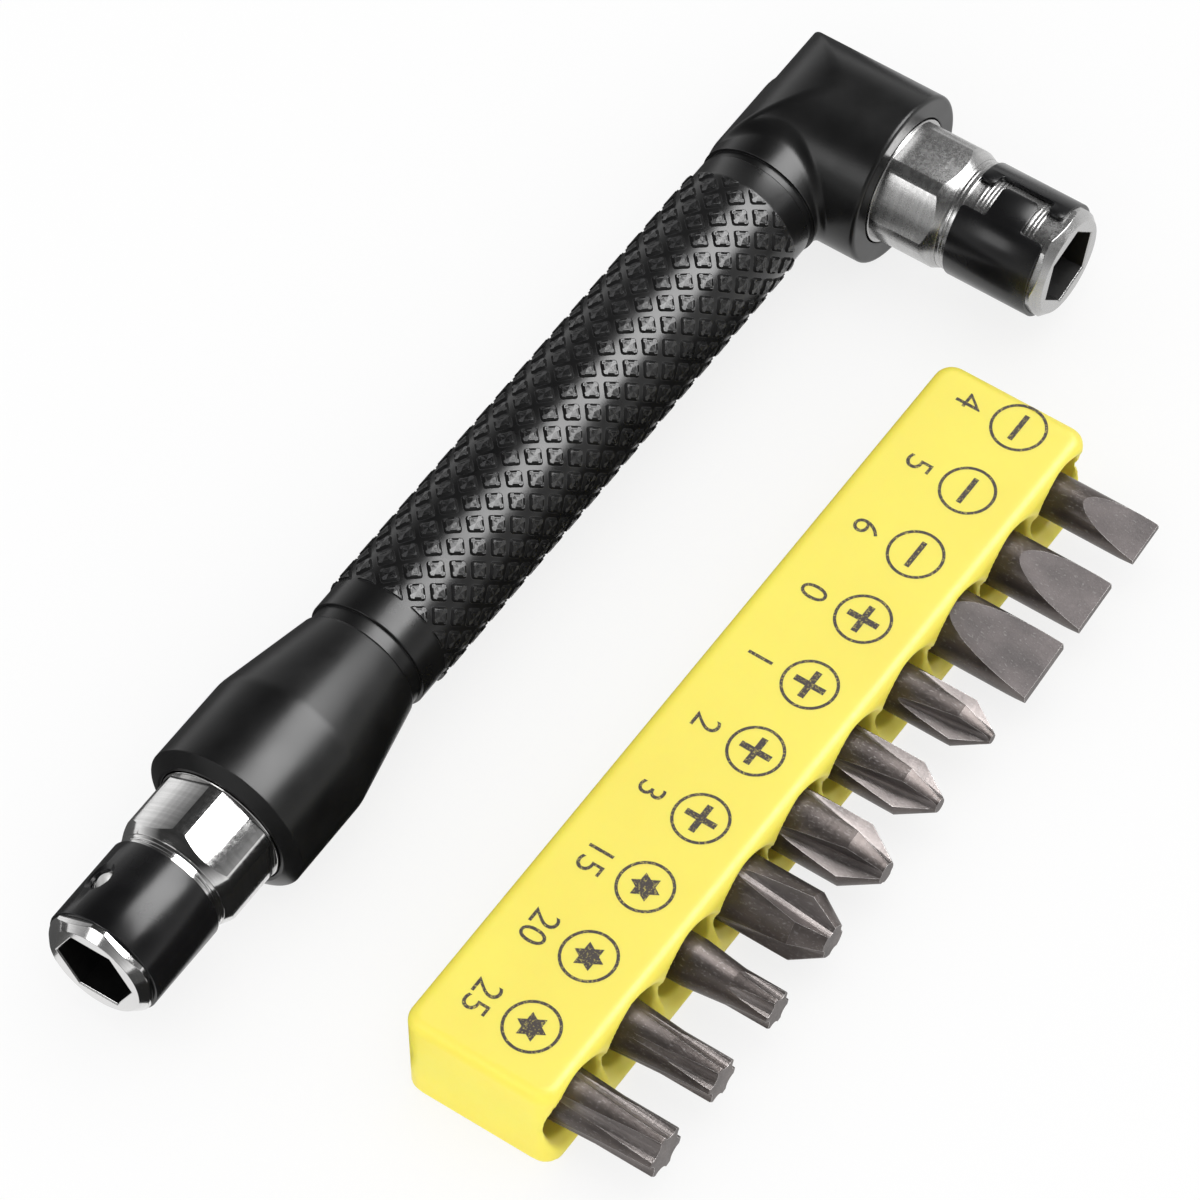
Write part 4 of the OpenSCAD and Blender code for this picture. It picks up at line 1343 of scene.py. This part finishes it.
def make_floor(stage):
    """A plain white floor that keeps a soft shadow."""
    bm = bmesh.new()
    bmesh.ops.create_grid(bm, x_segments=1, y_segments=1, size=stage.floor / 2)
    bmesh.ops.translate(bm, verts=bm.verts, vec=(0, 0, TABLE_Z))
    floor = mesh_object("floor", bm)
    material, tree, shader = blank_material("white_floor")
    shader.inputs["Base Color"].default_value = (0.95, 0.95, 0.95, 1)
    shader.inputs["Roughness"].default_value = 0.9
    shader.inputs["Specular IOR Level"].default_value = 0
    glow = node(tree, "Emission", {"Color": (1, 1, 1, 1), "Strength": 1.0})
    share = node(tree, "Math", {0: seen_directly(tree), 1: 0.8}, operation="MULTIPLY")
    blend = node(tree, "MixShader", {0: share.outputs[0], 1: shader.outputs[0], 2: glow.outputs[0]})
    tree.links.new(blend.outputs[0], tree.nodes["Material Output"].inputs["Surface"])
    floor.data.materials.append(material)


def make_shade_card(name, low, high, shade):
    """A dark matt card, in millimetres, that only reflections see: painted shade in reflections."""
    card = mesh_object(name, block([value * MM for value in low], [value * MM for value in high]))
    material, _, shader = blank_material(name)
    shader.inputs["Base Color"].default_value = (shade, shade, shade, 1)
    shader.inputs["Roughness"].default_value = 1
    shader.inputs["Specular IOR Level"].default_value = 0
    card.data.materials.append(material)
    card.visible_camera = card.visible_diffuse = card.visible_shadow = card.visible_transmission = False


def make_world(stage):
    """Pale at the horizon, darker overhead for reflections, and even for diffuse light."""
    world = bpy.data.worlds.new("studio")
    bpy.context.scene.world = world
    world.use_nodes = True
    tree = world.node_tree
    place = node(tree, "TexCoord")
    parts = node(tree, "SeparateXYZ", {0: place.outputs["Generated"]})
    low = ranged(tree, parts.outputs["Z"], 0.0, 0.22, 1.0, 0.55)
    height = node(tree, "Math", {0: low, 1: ranged(tree, parts.outputs["Z"], 0.2, 0.62, 0.0, 0.52)},
                  operation="SUBTRACT").outputs[0]
    seen = seen_directly(tree)
    shown = node(tree, "Background", {"Color": (1, 1, 1, 1), "Strength": height})
    even = node(tree, "Background", {"Color": (1, 1, 1, 1), "Strength": stage.world})
    blend = node(tree, "MixShader", {0: seen, 1: even.outputs[0], 2: shown.outputs[0]})
    tree.links.new(blend.outputs[0], tree.nodes["World Output"].inputs["Surface"])


LIGHTS_AIM = Vector((0.015, 0.05, 0))


def make_light(name, direction, distance, width, height, power, glossy):
    """A soft box that looks at the object, its width along X, for reflections or for plain light."""
    data = bpy.data.lights.new(name, "AREA")
    data.shape = "RECTANGLE"
    data.size = width
    data.size_y = height
    data.energy = power
    light = bpy.data.objects.new(name, data)
    bpy.context.scene.collection.objects.link(light)
    way = Vector(direction).normalized()
    across = Vector((1, 0, 0))
    across = (across - way * way.dot(across)).normalized()
    turn = Matrix((across, way.cross(across), way)).transposed().to_4x4()
    light.matrix_world = Matrix.Translation(LIGHTS_AIM + way * distance) @ turn
    light.visible_diffuse = not glossy
    light.visible_glossy = glossy


class STAGE_OT_make(bpy.types.Operator):
    """Makes the camera, the floor, the world and the lights"""
    bl_idname = "screwdriver.stage"
    bl_label = "Stage"

    def execute(self, context):
        stage = context.scene.screwdriver_stage
        make_camera(stage)
        make_floor(stage)
        make_world(stage)
        ground = TABLE_Z / MM
        # Dark cards under and beside the tool, seen only in reflections: painted shade where the floor would be
        # reflected.
        make_shade_card("left_shade_card", (-60, -12, ground + 0.1), (-7, 300, ground + 0.3), 0.1)
        make_shade_card("front_shade_card", (-300, -300, ground + 0.1), (300, -14, ground + 0.3), 0.08)
        make_shade_card("middle_shade_card", (6.2, -14, ground + 0.1), (22, 92, ground + 0.3), 0.02)
        make_shade_card("strip_shade_card", (22, -2, ground + 0.1), (22.3, 91, 2.6), 0.02)
        make_light("key_box", (0.334, 0.47, 0.816), 0.9, 0.7, 0.64, stage.key, True)
        make_light("front_box", (-0.335, -0.744, 0.58), 0.9, 0.3, 0.3, stage.front, True)
        make_light("fill_box", (0.1, 0.2, 1.0), 1.2, 1.2, 1.2, stage.fill, False)
        make_light("side_box", (0.45, -0.8, 0.5), 1.2, 1.2, 0.8, stage.side, False)
        context.scene.view_settings.view_transform = "Standard"
        return {"FINISHED"}


class SCREWDRIVER_PT_panel(bpy.types.Panel):
    """Lists the pieces in the sidebar"""
    bl_label = "Offset screwdriver"
    bl_idname = "SCREWDRIVER_PT_panel"
    bl_space_type = "VIEW_3D"
    bl_region_type = "UI"
    bl_category = "Screwdriver"

    def draw(self, context):
        for name in STEPS:
            self.layout.operator("screwdriver." + name)


STEPS = ["materials", "stage", "sockets", "bands", "nose", "grip", "head", "strip", "bits"]
GROUPS = {
    "sockets": SocketSizes, "bands": BandSizes, "body": BodySizes, "strip": StripSizes,
    "bits": BitSizes, "finishes": Finishes, "stage": StageSizes,
}
OPERATORS = [MATERIALS_OT_make, SOCKETS_OT_make, BANDS_OT_make, NOSE_OT_make, GRIP_OT_make, HEAD_OT_make,
             STRIP_OT_make, BITS_OT_make, STAGE_OT_make]


def register():
    for group in GROUPS.values():
        bpy.utils.register_class(group)
    for cls in OPERATORS + [SCREWDRIVER_PT_panel]:
        bpy.utils.register_class(cls)
    for name, group in GROUPS.items():
        setattr(bpy.types.Scene, "screwdriver_" + name, PointerProperty(type=group))


def unregister():
    for name in GROUPS:
        delattr(bpy.types.Scene, "screwdriver_" + name)
    for cls in [SCREWDRIVER_PT_panel] + OPERATORS[::-1]:
        bpy.utils.unregister_class(cls)
    for group in reversed(GROUPS.values()):
        bpy.utils.unregister_class(group)


def main():
    register()
    for name in STEPS:
        getattr(bpy.ops.screwdriver, name)()


if __name__ == "__main__":
    main()
